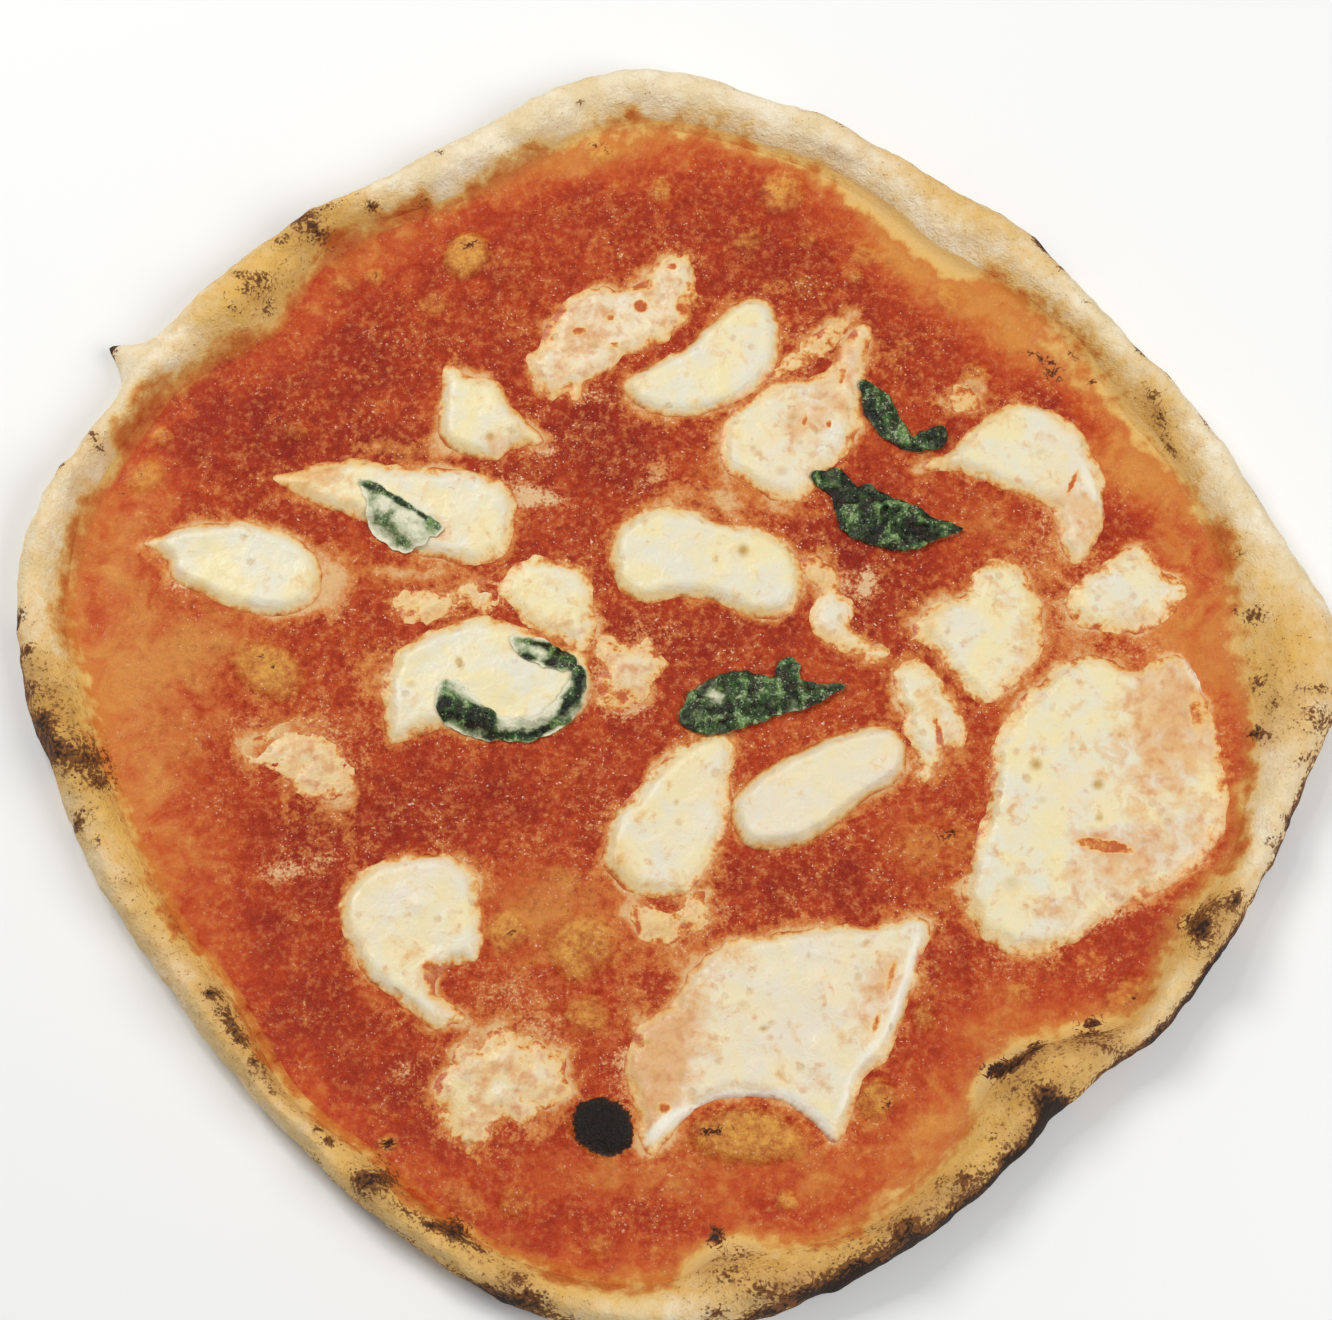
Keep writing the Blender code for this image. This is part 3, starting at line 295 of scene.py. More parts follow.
# Orange butterfat that has run into the sauce away from the cheese
BUTTERED = (
    (-3, 53, 4, 3, 0, 0.7), (4, 46, 9, 3, -20, 0.8), (14, 45, 3.4, 8, 15, 0.8),
    (28, 41, 12, 2.4, -12, 0.8), (-86, 22, 6, 9, 0, 1.1), (-70, 58, 16, 3, 0, 0.6),
    (-96, 46, 10, 3, 10, 0.6), (-72, 24, 10, 3, -5, 0.6), (-28, 18, 4, 8, 0, 0.3),
    (-60, 24, 16, 2.4, 0, 0.6), (-76, -2, 4, 12, 0, 0.5), (-90, -40, 14, 4, 0, 0.4),
    (-104, -10, 10, 4, 0, 0.4), (-80, -45, 6, 10, 0, 0.3), (-40, -90, 14, 5, 10, 0.5),
    (-28, -112, 5, 8, 0, 0.6), (-14, -70, 8, 8, 0, 0.5), (0, -76, 12, 4, 0, 0.7),
    (-10, -86, 5, 8, 0, 0.6), (62, 14, 4, 8, -30, 0.5), (98, 6, 10, 4, 0, 0.6), (96, 24, 5, 8, 0, 0.5),
    (104, 70, 6, 3, -40, 0.3), (112, 62, 3, 8, -20, 0.4), (58, 84, 5, 12, 0, 0.4),
    (26, 104, 6, 3, -20, 0.5), (-4, 76, 10, 2, 35, 0.5), (66, -40, 10, 3, 20, 0.4),
    (74, -70, 3, 8, 0, 0.5), (98, -76, 14, 3, 20, 0.4), (130, -52, 4, 10, 30, 0.4),
    (-4, -120, 10, 3, 0, 0.5),
)

# Mozzarella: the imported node, its thickness, how far it has melted, how pink it is, how soft its edge is,
# and its outline
MOZZARELLA = (
    ("left_slice", 3.0, 0.02, 0.0, 0.22, (
        (-134, 32), (-129, 34.5), (-124, 36), (-113, 38), (-102, 36.5), (-93, 32), (-88.5, 25),
        (-90, 17), (-97, 13), (-107, 13.5), (-117, 17.5), (-126, 22), (-128, 28))),
    ("kite_slice", 3.0, 0.04, 0.0, 0.25, (
        (-58.5, 81), (-52, 78), (-45, 76), (-40.5, 69), (-33, 60), (-38, 58.5), (-43, 56), (-46, 54.5),
        (-56, 57), (-60, 62), (-59.5, 72))),
    ("leaf_slice", 2.8, 0.15, 0.12, 0.38, (
        (-103, 50), (-96, 51.5), (-88, 54), (-78, 54.8), (-68, 52.5), (-57, 52.8), (-47, 50.5), (-40.5, 46),
        (-39.5, 38), (-41, 30), (-49, 26), (-60, 28), (-70, 32), (-79, 37.5), (-88, 41.5), (-96, 46))),
    ("ragged_slice", 2.2, 0.55, 0.4, 0.45, (
        (5.5, 113), (0, 111.5), (-6, 107.5), (-14, 103), (-22, 102), (-29, 98), (-32, 92), (-33, 86),
        (-37, 82), (-35, 75), (-31, 72), (-27, 74), (-24, 71.5), (-19, 77), (-8, 84.5), (2, 92), (6, 101))),
    ("half_moon", 3.0, 0.04, 0.0, 0.2, (
        (-12.5, 76), (-4, 81.5), (5, 87.5), (13, 95.8), (20, 100), (25, 98.5), (27.8, 91),
        (26.5, 80), (19, 72.2), (10, 68), (0, 66.5), (-9, 69.5))),
    ("forked_slice", 2.4, 0.25, 0.12, 0.4, (
        (12, 60), (14, 66.5), (21, 72), (29, 76.5), (38, 78), (43, 84), (47, 91), (51.5, 91),
        (50.5, 80), (49, 70), (47, 60), (42.5, 54), (38, 50), (32, 43.5), (24, 45), (17, 49.5), (13, 54))),
    ("strand", 1.3, 0.9, 0.5, 0.9, (
        (26, 78.5), (31, 84), (38, 91), (46, 96.5), (45, 92), (40, 85), (35, 80))),
    ("crescent", 2.8, 0.16, 0.15, 0.35, (
        (62.5, 51.5), (70, 57), (79, 65.5), (89, 70.7), (99, 67.5), (106, 59.5), (110, 50), (110, 40),
        (107, 30), (103, 26), (99.5, 29), (97.5, 37), (95.5, 42), (88, 45.5), (79, 49.5), (69, 52))),
    ("centre_slice", 3.0, 0.08, 0.0, 0.32, (
        (-15.5, 30), (-12.5, 38), (-4, 41.8), (5, 41), (14, 38), (24, 35.5), (31, 29.5), (33.5, 21),
        (30, 13.5), (22, 12), (12, 16), (2, 17.5), (-7, 15.5), (-13.5, 21))),
    ("centre_crumb", 1.3, 0.9, 0.4, 0.9, ((32, 27), (38, 27.5), (41.5, 23), (38.5, 20), (34, 22))),
    ("centre_tail", 1.9, 0.35, 0.2, 0.6, (
        (33.5, 13), (36, 18), (41, 20), (45.5, 15), (46, 10), (51, 6.5), (54.5, 2.5), (51, 0), (44, 3),
        (36.5, 7.5))),
    ("leaf_puddle", 3.0, 0.06, 0.0, 0.4, (
        (-71, 0), (-66, 6), (-57, 10), (-47, 12.5), (-37, 9), (-28, 4.5), (-21, 1), (-19.5, -6),
        (-24, -13.5), (-33, -18.5), (-45, -19.5), (-56, -17), (-64, -19), (-70, -21), (-72, -12))),
    ("upper_puddle", 2.2, 0.18, 0.1, 0.5, (
        (-43.5, 18), (-41, 25), (-35, 28.8), (-28, 27.5), (-22, 24.5), (-19.5, 17), (-20, 8),
        (-23, 4), (-30, 7.3), (-38, 11.5))),
    ("upper_arm", 1.3, 0.8, 0.25, 0.9, (
        (-70.5, 16.5), (-64, 21), (-55, 20), (-47, 22.5), (-43.5, 19), (-45, 15), (-53, 14.5), (-62, 11))),
    ("left_melt", 1.3, 0.9, 0.1, 1.0, (
        (-109, -19), (-101, -17), (-91, -15), (-83, -19), (-79, -26), (-82, -34), (-90, -34),
        (-97, -29), (-106, -26))),
    ("lower_left_slice", 2.8, 0.14, 0.3, 0.35, (
        (-81.5, -64), (-79, -56), (-73, -51), (-64, -49.3), (-54, -49.5), (-48, -53.5), (-47, -61),
        (-46, -70), (-47, -76), (-54, -78), (-57, -83), (-50, -90), (-58, -92), (-67, -86), (-76, -77))),
    ("lower_left_melt", 1.7, 0.8, 0.15, 0.9, (
        (-57, -106), (-52, -98), (-44, -94.5), (-34, -96), (-25, -101), (-24.5, -109), (-34, -114),
        (-42, -117), (-50, -122.5), (-55, -117))),
    ("bottom_sheet", 2.8, 0.2, 0.35, 0.3, (
        (8, -74), (22, -69.5), (34, -67), (47, -66.7), (62, -65.5), (60, -77), (56.5, -89), (52.5, -99.5),
        (45.5, -105), (43.5, -113), (39, -119.8), (32, -114), (25, -110), (14, -109.3), (5, -112.5),
        (0, -119.5), (-6, -124), (-8, -115), (-11.5, -103), (-9, -93), (0, -86))),
    ("centre_low_slice", 2.8, 0.14, 0.15, 0.45, (
        (7, -18.5), (12, -17.8), (15.6, -22), (14.5, -32), (13.6, -42), (10.5, -50), (4, -58), (-3, -60.5),
        (-11, -57.5), (-17, -51), (-15.5, -42), (-10, -33.5), (-2, -25))),
    ("centre_right_slice", 3.6, 0.05, 0.25, 0.2, (
        (14.7, -37), (20, -30), (29, -23.8), (39, -19.2), (48, -16.7), (55, -17.4), (58.3, -23),
        (57, -30), (48, -35.3), (41, -41), (33, -46.2), (24, -48.3), (16.8, -45.5))),
    ("right_drop", 2.3, 0.2, 0.15, 0.45, (
        (54.3, -4), (57, 0.7), (61.5, 1.3), (66.5, -3), (70.8, -9.5), (73.8, -17), (72.3, -23.5),
        (67.5, -22), (65.5, -28), (62, -31), (60, -24), (57, -14))),
    ("right_sheet", 3.0, 0.2, 0.08, 0.55, (
        (89, -7), (98, 0.5), (108, 2), (117, -1), (126, 2), (132, -6), (135.5, -18), (137.5, -31),
        (136, -43), (130, -53), (119, -59), (108, -64), (99, -71), (88, -75), (77, -70.5), (71, -60),
        (74.5, -47), (78, -34), (80, -21), (84.5, -13))),
    ("right_lobe", 2.4, 0.22, 0.1, 0.6, (
        (61, 10), (67, 16), (73, 19), (78, 27), (87, 26.5), (92, 19), (93.5, 9), (91.5, 0.5), (85, -6),
        (78, -11.5), (72, -6.5), (66, 2))),
    ("star_slice", 2.5, 0.12, 0.15, 0.7, (
        (99, 17), (104, 23), (112, 29), (119.5, 31), (124.5, 25), (129.5, 20), (126, 12.5), (119.5, 8.5),
        (109, 8.5), (101, 11))),
    ("middle_melt", 1.3, 0.9, 0.2, 1.0, (
        (-18, 4.5), (-11, 7), (-4, 4.5), (1, 0), (-5, -5.5), (-11, -10), (-17, -11), (-18.5, -3))),
    ("small_melt", 1.3, 0.85, 0.7, 0.9, ((70.5, 72.5), (77, 77), (80.5, 72), (79, 67.5), (73.5, 68))),
    ("low_melt", 1.4, 0.9, 0.2, 1.0, (
        (-10, -62), (-7, -68.5), (-1, -71), (5.5, -69.5), (9, -63), (7, -59.5), (0, -62.5))),
)
CHEESE_SPACING = 0.85
CHEESE_OUTLINE_SPACING = 1.2

# Cheese that has sunk into the sauce and gone blotchy, wherever it lies
BLOTCHED = (
    (122, -24, 15, 26, 10, 0.7), (127, -10, 10, 14, 0, 0.85), (112, -52, 20, 8, 20, 0.7),
    (105, -47, 8, 2.6, -12, 1.2), (50, -84, 7, 13, -20, 0.85), (-5, -102, 9, 18, 0, 1.9),
    (4, -92, 8, 8, 0, 0.6), (33, -104, 6, 5, 0, 0.4), (104, 38, 8, 14, 25, 0.85),
    (90, 62, 10, 3, -30, 0.35), (41, 70, 7, 11, 0, 0.7), (46, 84, 7, 8, 0, 0.8), (32, 64, 5, 7, 0, 0.8),
    (38, 52, 5, 5, 0, 0.45), (-92, 49, 12, 5, 20, 0.8), (-60, 36, 4, 5, 30, 0.8),
    (-22, 92, 11, 7, 20, 0.75), (-30, 80, 7, 7, 0, 0.2), (-2, 102, 6, 6, 0, 0.35),
    (-128, 24, 6, 6, 0, 0.6), (-86, 21, 8, 9, 0, 0.6), (-42, 58, 8, 5, -30, 0.8),
    (-57, -80, 5, 4, -60, 1.4), (-66, -70, 6, 5, 0, 0.25), (-53, -88, 6, 4, 0, 0.5),
    (66, -16, 5, 12, 15, 0.5), (88, 8, 8, 18, 0, 0.4), (42, 8, 8, 8, -30, 0.35), (-26, 8, 7, 6, 0, 0.4),
    (-66, -15, 6, 5, 0, 0.4), (-2, -56, 9, 5, 0, 0.35), (12, -76, 12, 4, 10, 0.5),
    (120, 12, 12, 4, 0, 0.35), (96, -66, 10, 6, 30, 0.4),
)

# Where the cheese has opened and the sauce shows
OPENED = (
    (106, -47.5, 7, 1.7, -10, 1.1), (-57.5, -80, 4, 2.4, -50, 1.2), (118, -59, 18, 5, 32, 0.34),
    (131, -43, 6, 4, 60, 0.3), (92, -78, 14, 4, 10, 0.5), (130, -14, 3, 9, 10, 0.45),
    (128, 4, 3, 6, 20, 0.4), (-30, 96, 3.6, 2.2, 20, 0.8), (-7, 103, 3.2, 2.4, 0, 0.8),
    (-34, 90, 3.2, 2.0, 30, 0.75), (3, 98, 2.4, 3.2, 0, 0.75), (-24, 90, 2.6, 1.6, 10, 0.75),
    (-38, 86, 2.4, 1.6, 0, 0.5), (34, 65, 1.3, 2.6, -20, 0.62), (40, 64, 1.4, 1.6, 0, 0.6),
    (36, 72, 1.6, 1.4, 0, 0.45), (45, 60, 1.2, 2.4, 0, 0.45), (-8, 97, 2.4, 2.2, 0, 0.75),
    (-16, 94, 1.6, 1.4, 30, 0.7), (-15, 86, 2.0, 1.2, 0, 0.6), (0, 108, 2.0, 1.4, 0, 0.6),
    (100, 5, 10, 1.6, 30, 0.9), (46, 90, 2.4, 4, 20, 0.6), (44, 78, 1.6, 4, -10, 0.6),
    (102, 48, 5, 1.0, 65, 0.7), (-50, -88, 3, 2, 0, 0.6), (53, -80, 1.4, 7, -15, 0.6),
    (49, -92, 1.4, 4, -15, 0.5), (66, -18, 1.0, 5, 12, 0.8), (112, 1, 8, 1.4, -10, 0.6),
    (-8, -96, 2.2, 3.0, 20, 0.6), (-2, -112, 2.4, 2.0, 0, 0.6),
)

# Where the cheese's skin is drawn up into a thick lip, painted whiter: partly whiter skin, partly painted
# sheen along the raised edge
LIPPED = (
    (-4, -118, 4, 1.5, 50, 0.9), (0.5, -114.8, 5, 1.5, 35, 1.0), (9, -110.6, 6, 1.5, 22, 1.0),
    (20, -108.8, 8, 1.5, 0, 1.0), (30, -111, 5, 1.4, -35, 1.0), (36, -116, 5, 1.4, -55, 1.0),
    (41, -110, 6, 1.2, 66, 0.7), (47, -99, 7, 1.2, 52, 0.8), (54, -88, 8, 1.2, 72, 0.9),
    (58, -76, 8, 1.2, 76, 0.9), (-72, -86, 8, 1.3, -55, 0.7), (-60, -95, 8, 1.4, -30, 0.9),
    (107, 46, 8, 1.2, -68, 0.7), (131, -4, 7, 1.6, -60, 0.7),
)

# Where butterfat has stained the cheese yellow
YELLOWED = (
    (-93, 49, 10, 4, 8, 1.0), (-79, 55, 12, 2.4, 0, 1.0), (-84, 43, 8, 3, -25, 0.6),
    (-58, 28, 10, 2, -10, 0.5), (-88, 20, 4, 8, 0, 0.8), (-66, 17, 6, 5, 0, 0.8),
    (-55, 17, 10, 3, 0, 0.5), (-72, -6, 3, 12, 0, 0.5), (-95, -21, 12, 5, -8, 0.8),
    (-84, -28, 5, 5, 0, 0.6), (-42, -104, 12, 7, 0, 0.6), (-50, -117, 6, 4, 0, 0.5),
    (-26, -104, 4, 6, 0, 0.7), (-14, 79, 14, 2.6, 36, 1.0), (-30, 73, 4, 3, 0, 0.8),
    (-15, 86, 3, 3, 0, 0.5), (24, 101, 5, 3.4, 0, 1.1), (-11, 73, 5, 3, 30, 0.6),
    (13, 54, 3, 8, -15, 0.6), (30, 45, 8, 2.4, -15, 0.5), (-15, 27, 2.6, 10, 10, 0.6),
    (-6, 17, 10, 2.4, -5, 0.7), (24, 13, 9, 2.4, 0, 0.8), (18, 29, 2.4, 2.2, 0, 0.7),
    (33, 22, 2.4, 7, 0, 0.5), (38, 24, 5, 4, 0, 0.6), (40, 6, 9, 2.6, -35, 0.7), (64, 11, 4, 7, -30, 0.7),
    (88, 8, 4, 10, 0, 0.5), (82, 26, 8, 2.6, 0, 0.5), (101, 14, 4, 6, 0, 0.7), (112, 8, 12, 2.2, 0, 0.6),
    (125, 26, 5, 3, -40, 0.6), (84, -11, 4, 8, -35, 0.9), (77, -32, 3, 14, 8, 0.6),
    (83, -57, 4, 3.4, 0, 0.45), (73, -62, 4, 8, 0, 0.7), (92, -73, 12, 3, 10, 0.8),
    (110, -18, 10, 12, 0, 0.4), (126, -30, 8, 14, 0, 0.45), (-7, -106, 7, 12, 0, 1.0),
    (0, -90, 6, 7, -40, 0.6), (59, -90, 3, 10, 12, 0.5), (-13, -54, 5, 5, 0, 0.6), (0, -67, 8, 4, 0, 1.0),
    (-15, -44, 3, 8, 20, 0.5), (66, -14, 3, 11, 15, 0.6), (-80, -60, 3, 8, 0, 0.6),
    (-62, -90, 6, 3, -20, 0.6), (109, 36, 3, 12, 12, 0.5), (80, 63, 12, 2.2, 38, 0.5),
    (68, 53, 6, 2.6, 10, 0.8), (75, 72, 4, 3, 0, 0.6), (-58, 60, 3, 8, 0, 0.3), (-38, 60, 4, 4, 0, 0.6),
    (40, 85, 8, 3, 50, 0.6), (-38, 12, 8, 2.4, -20, 0.5), (24, -30, 8, 2, 30, 0.3),
    (52, -37, 8, 2, 35, 0.5), (12, -50, 3, 8, 10, 0.3),
)

# Small brown or yellow marks on the cheese
FLECKS = (
    (90, -27, 1.5, 1.5, 0, 0.75), (105, -32, 1.5, 1.4, 0, 0.8), (105, -40.5, 1.0, 1.0, 0, 0.7),
    (87, -30, 0.8, 0.8, 0, 0.55), (99, -23, 0.7, 0.7, 0, 0.5), (91, -36, 1.6, 1.2, 0, 0.3),
    (83, -57, 3.0, 2.6, 0, 0.28), (18, 29.5, 1.4, 1.6, 0, 0.8), (11, 27, 0.7, 0.9, 0, 0.6),
    (-46.5, 60.5, 1.2, 1.4, 0, 0.75), (-41, 62, 1.6, 1.0, -20, 0.5), (22, 56, 1.2, 1.0, 0, 0.4),
    (28, 51, 2.0, 1.6, 0, 0.35), (31, 66, 1.6, 1.3, 0, 0.5), (37, 62, 0.9, 0.9, 0, 0.6),
    (33, 59, 0.8, 0.8, 0, 0.4), (22, -93, 1.2, 0.8, 0, 0.7), (24, -91.5, 0.8, 0.8, 0, 0.5),
    (17, -87, 1.8, 1.2, 0, 0.35), (47, -72, 1.6, 0.7, 40, 0.55), (33, -75, 0.8, 1.0, 0, 0.45),
    (26, -73, 0.8, 0.8, 0, 0.35), (26, -104, 1.4, 1.4, 0, 0.35), (36, -107, 1.0, 1.0, 0, 0.35),
    (11, -101, 1.2, 1.0, 0, 0.3), (1, -36.5, 0.9, 0.9, 0, 0.5), (5, -20, 0.8, 0.8, 0, 0.35),
    (-4, -44, 0.8, 0.8, 0, 0.25), (-65, -6, 1.3, 1.1, 0, 0.45), (-20, 86, 1.2, 1.0, 0, 0.6),
    (-20, 22, 1, 1, 0, 0.2), (-43, -101, 1.6, 1.2, 0, 0.3), (-50, -107, 1.2, 1.0, 0, 0.3),
    (105, 59, 1.0, 1.6, 0, 0.4), (94, 56, 2.0, 1.2, 20, 0.3), (86, 55, 0.9, 0.9, 0, 0.3),
    (110, 25, 0.9, 0.9, 0, 0.3), (116, 14, 1.0, 0.8, 0, 0.25), (78, 8, 1.2, 1.0, 0, 0.25),
    (86, -2, 1.4, 1.0, 0, 0.3), (-6, -96, 1.2, 1.0, 0, 0.5), (2, -104, 1.4, 1.2, 0, 0.4),
    (-4, -112, 1.2, 1.0, 0, 0.45), (42, 12, 1.0, 1.0, 0, 0.35), (60, -16, 1.6, 0.9, -50, 0.5),
    (66, -8, 1.2, 0.8, -40, 0.35), (-53, -0.5, 0.8, 1.7, 20, 1.1),
)

# Basil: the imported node, height of its creases, how much milk covers it, and its outline
BASIL = (
    ("basil_upper", 1.4, 0.05, (
        (48.3, 75.5), (52, 75), (55.5, 71.8), (57.6, 68.2), (60, 63.2), (61.6, 60.8), (64, 62),
        (66.8, 63.8), (70, 64), (70.6, 61.5), (68.6, 58.2), (63, 57.2), (58, 58.3), (54, 61), (51, 65),
        (49, 70))),
    ("basil_large", 1.9, 0.03, (
        (35.5, 50.2), (39, 51.2), (42, 52), (44.6, 50), (47, 47.6), (51, 47.2), (55, 45), (60, 43),
        (64, 40.4), (67.6, 37.8), (74, 36), (69.6, 33.6), (65, 32), (61, 30), (56, 29.8), (51, 31.2),
        (46.6, 33), (43, 36), (41, 41), (40, 45), (37.4, 47.6))),
    ("basil_centre", 1.8, 0.12, (
        (1.4, -14.2), (3.6, -9.4), (8, -5.2), (13, -3), (18, -2.4), (22, -3.2), (25, -4), (26.4, -1),
        (29, 1.4), (32, -0.6), (32, -4.6), (37, -5.2), (43.4, -6), (38.6, -9.4), (34, -12), (28, -13.2),
        (22, -15.4), (16, -17.2), (9, -18.8), (4, -17.2))),
    ("basil_left", 0.25, 0.85, (
        (-79.6, 47.6), (-76.6, 48.6), (-73, 46.4), (-69, 43.6), (-64, 41), (-57.6, 36.2), (-60, 33.4),
        (-64, 31), (-68, 29.6), (-73, 32), (-76.6, 37), (-77.6, 43))),
    ("basil_puddle", 0.5, 0.62, (
        (-59, -8.4), (-55, -5), (-50.4, -8), (-46, -12.2), (-41, -14.4), (-35, -14.4), (-30, -11.4),
        (-26, -6.6), (-24.2, -2), (-21.8, -1.6), (-21.4, -7), (-24, -13.2), (-29, -17.8), (-36, -20.6),
        (-44, -20.2), (-52, -18.4), (-58, -14.4))),
    ("basil_puddle_tip", 0.45, 0.62, (
        (-40.6, 5.6), (-36, 6.4), (-30, 5), (-25.4, 2), (-23.8, -1.6), (-28, -2.2), (-33, -1), (-38, 1.2))),
)

# Where milk covers a leaf, and where it leaves it bare
VEILED = (
    (-77.5, 47, 2.6, 1.5, -25, -1.1), (-73, 45, 3.0, 1.0, -35, -1.1), (-68, 42, 4.4, 0.8, -33, -1.0),
    (-62, 38, 4.4, 0.7, -36, -0.9), (-72, 37, 2.4, 2.4, 0, -0.4), (-69, 33, 3.4, 1.6, -35, -0.35),
    (-75, 40, 1.6, 3, 0, -0.3), (10.7, -9, 2.4, 2.0, 0, 0.9), (6, -13, 2.0, 2.0, 0, 0.35),
    (41, 48, 2.0, 1.6, 0, 0.25), (-56, -10.5, 2.8, 2.4, 0, -0.85), (-52, -13.5, 3.6, 2.4, -20, -0.9),
    (-46.5, -14.5, 3.4, 1.6, -30, -0.7), (-40, -19, 5.0, 1.1, 3, -0.9), (-32, -17.5, 5.0, 1.0, 25, -0.9),
    (-27, -12.5, 4.0, 1.0, 52, -0.8), (-23.6, -7, 4.0, 0.8, 85, -0.8), (-23.5, -3, 2.0, 1.2, -60, -0.7),
    (-57, -15.5, 2.4, 1.0, -40, -0.5), (-35, 4.5, 3.0, 0.9, -12, -0.6), (-30, 3.2, 4.0, 1.1, -25, -0.8),
    (-36, 1.2, 3.0, 0.9, -15, -0.6), (-31, -0.6, 4.0, 1.0, -10, -0.7), (-26, 1.0, 3.0, 0.9, -45, -0.9),
)
LEAF_SPACING = 0.5
LEAF_OUTLINE_SPACING = 0.8
LEAF_THICKNESS = 0.35


def linear(hex_colour):
    """An sRGB hex colour as linear red, green, blue and alpha."""
    channels = (int(hex_colour[i:i + 2], 16) / 255 for i in (1, 3, 5))
    return (*(c / 12.92 if c <= 0.04045 else ((c + 0.055) / 1.055) ** 2.4 for c in channels), 1.0)


def angle_of(x, y):
    """The angle of each place round the middle, in degrees."""
    return np.degrees(np.arctan2(y, x))


def at_angle(angle, reach):
    """The x and y at an angle in degrees and a distance from the middle."""
    return reach * np.cos(np.radians(angle)), reach * np.sin(np.radians(angle))


def between(before, here, after, beyond, share):
    """A place on the smooth curve from here to after, which also heeds the points before and beyond."""
    bend = 2 * before - 5 * here + 4 * after - beyond + share * (3 * (here - after) + beyond - before)
    return here + 0.5 * share * (after - before + share * bend)


def around(table, angle):
    """A smooth closed curve through a table's values, which are evenly spaced round the circle."""
    table = np.asarray(table)
    place = (angle % 360.0) / 360.0 * len(table)
    step = np.floor(place).astype(int)
    return between(*(table[(step + k) % len(table)] for k in (-1, 0, 1, 2)), place - step)


def travelled_along(points):
    """How far along a line of points each of them is."""
    return np.concatenate([[0], np.cumsum(np.hypot(*np.diff(points, axis=0).T))])


def lumps(points, size, seed):
    """Smooth random values from -1 to 1 in space, with lumps about size across."""
    table = np.random.default_rng(seed).uniform(-1, 1, (32, 32, 32))
    place = np.stack([np.asarray(p, float) for p in points]) / size + 7.3
    cell = np.floor(place).astype(int)
    share = place - cell
    share = share ** 3 * (share * (share * 6 - 15) + 10)
    total = 0.0
    for i in (0, 1):
        for j in (0, 1):
            for k in (0, 1):
                weight = 1.0
                for part, corner in zip(share, (i, j, k)):
                    weight = weight * (part if corner else 1 - part)
                total = total + weight * table[(cell[0] + i) % 32, (cell[1] + j) % 32, (cell[2] + k) % 32]
    return total


def flat_lumps(x, y, size, seed):
    """The same lumps over the floor, whatever the height."""
    return lumps((x, y, np.zeros_like(x)), size, seed)


def rough(x, y, *layers):
    """Lumps of several sizes added up; each layer is a height, a size and a seed."""
    return sum(height * flat_lumps(x, y, size, seed) for height, size, seed in layers)


def in_oval(x, y, middle_x, middle_y, length, width, turn):
    """How far each place is along and across a turned oval, counted in its half length and half width."""
    c, s = math.cos(math.radians(turn)), math.sin(math.radians(turn))
    along = ((x - middle_x) * c + (y - middle_y) * s) / length
    across = ((y - middle_y) * c - (x - middle_x) * s) / width
    return along, across


def spread(x, y, spots):
    """The sum of soft oval spots at each place."""
    total = np.zeros_like(x)
    for sx, sy, length, width, turn, strength in spots:
        reach = 3 * max(length, width)
        near = np.nonzero((abs(x - sx) < reach) & (abs(y - sy) < reach))[0]
        if len(near):
            along, across = in_oval(x[near], y[near], sx, sy, length, width, turn)
            total[near] += strength * np.exp(-(along ** 2 + across ** 2))
    return total


def smooth_step(value, low, high):
    """Climbs smoothly from 0 at low to 1 at high."""
    share = np.clip((value - low) / (high - low), 0, 1)
    return share * share * (3 - 2 * share)


def make_waves(seed, count, least, most):
    """Flat waves with lengths from least to most, each a direction and a phase."""
    draw = random.Random(seed)
    waves = []
    for _ in range(count):
        direction = draw.uniform(0, math.tau)
        number = math.tau / draw.uniform(least, most)
        waves.append((math.cos(direction) * number, math.sin(direction) * number, draw.uniform(0, math.tau)))
    return waves


def ripple(waves, x, y):
    """The height that the waves have together at each place."""
    return sum(np.sin(a * x + b * y + phase) for a, b, phase in waves) / math.sqrt(len(waves))


FLOOR_WAVES = make_waves(seed=3, count=6, least=45.0, most=90.0)
RIM_WAVES = make_waves(seed=11, count=8, least=16.0, most=34.0)
FLOOR_RIPPLE = 0.18
RIM_RIPPLE = 0.75


def pressed(x, y, z):
    """Moves points of the turned disc to where they are on the hand-made pizza."""
    turned = np.hypot(x, y)
    angle = angle_of(x, y)
    foot, edge = around(FOOT, angle), around(OUTER, angle)
    share = (turned - TURNED_FOOT) / (TURNED_EDGE - TURNED_FOOT)
    radius = np.where(share <= 0, turned * foot / TURNED_FOOT, foot + share * (edge - foot))
    px, py = at_angle(angle, radius)
    upper = np.clip(z / TURNED_RIM_HEIGHT, 0, 1)
    rise = FLOOR_RIPPLE * ripple(FLOOR_WAVES, px, py) * np.clip(z / FLOOR_SECTION[0][1], 0, 1)
    rise += RIM_RIPPLE * ripple(RIM_WAVES, px, py) * upper ** 2
    for puff_angle, puff_radius, size, height in RIM_PUFFS:
        puff_x, puff_y = at_angle(puff_angle, puff_radius)
        rise += height * upper * np.exp(-((px - puff_x) ** 2 + (py - puff_y) ** 2) / size ** 2)
    return px, py, z + rise


def sauce_share(x, y):
    """How far out a place is, from 0 in the middle to 1 at the foot of the rim."""
    return np.hypot(x, y) / around(FOOT, angle_of(x, y))


def turned_radius(x, y):
    """The radius that a place has on the turned disc."""
    angle = angle_of(x, y)
    foot, edge = around(FOOT, angle), around(OUTER, angle)
    reach = np.hypot(x, y)
    beyond = TURNED_FOOT + (reach - foot) / (edge - foot) * (TURNED_EDGE - TURNED_FOOT)
    return np.where(reach < foot, reach / foot * TURNED_FOOT, beyond)


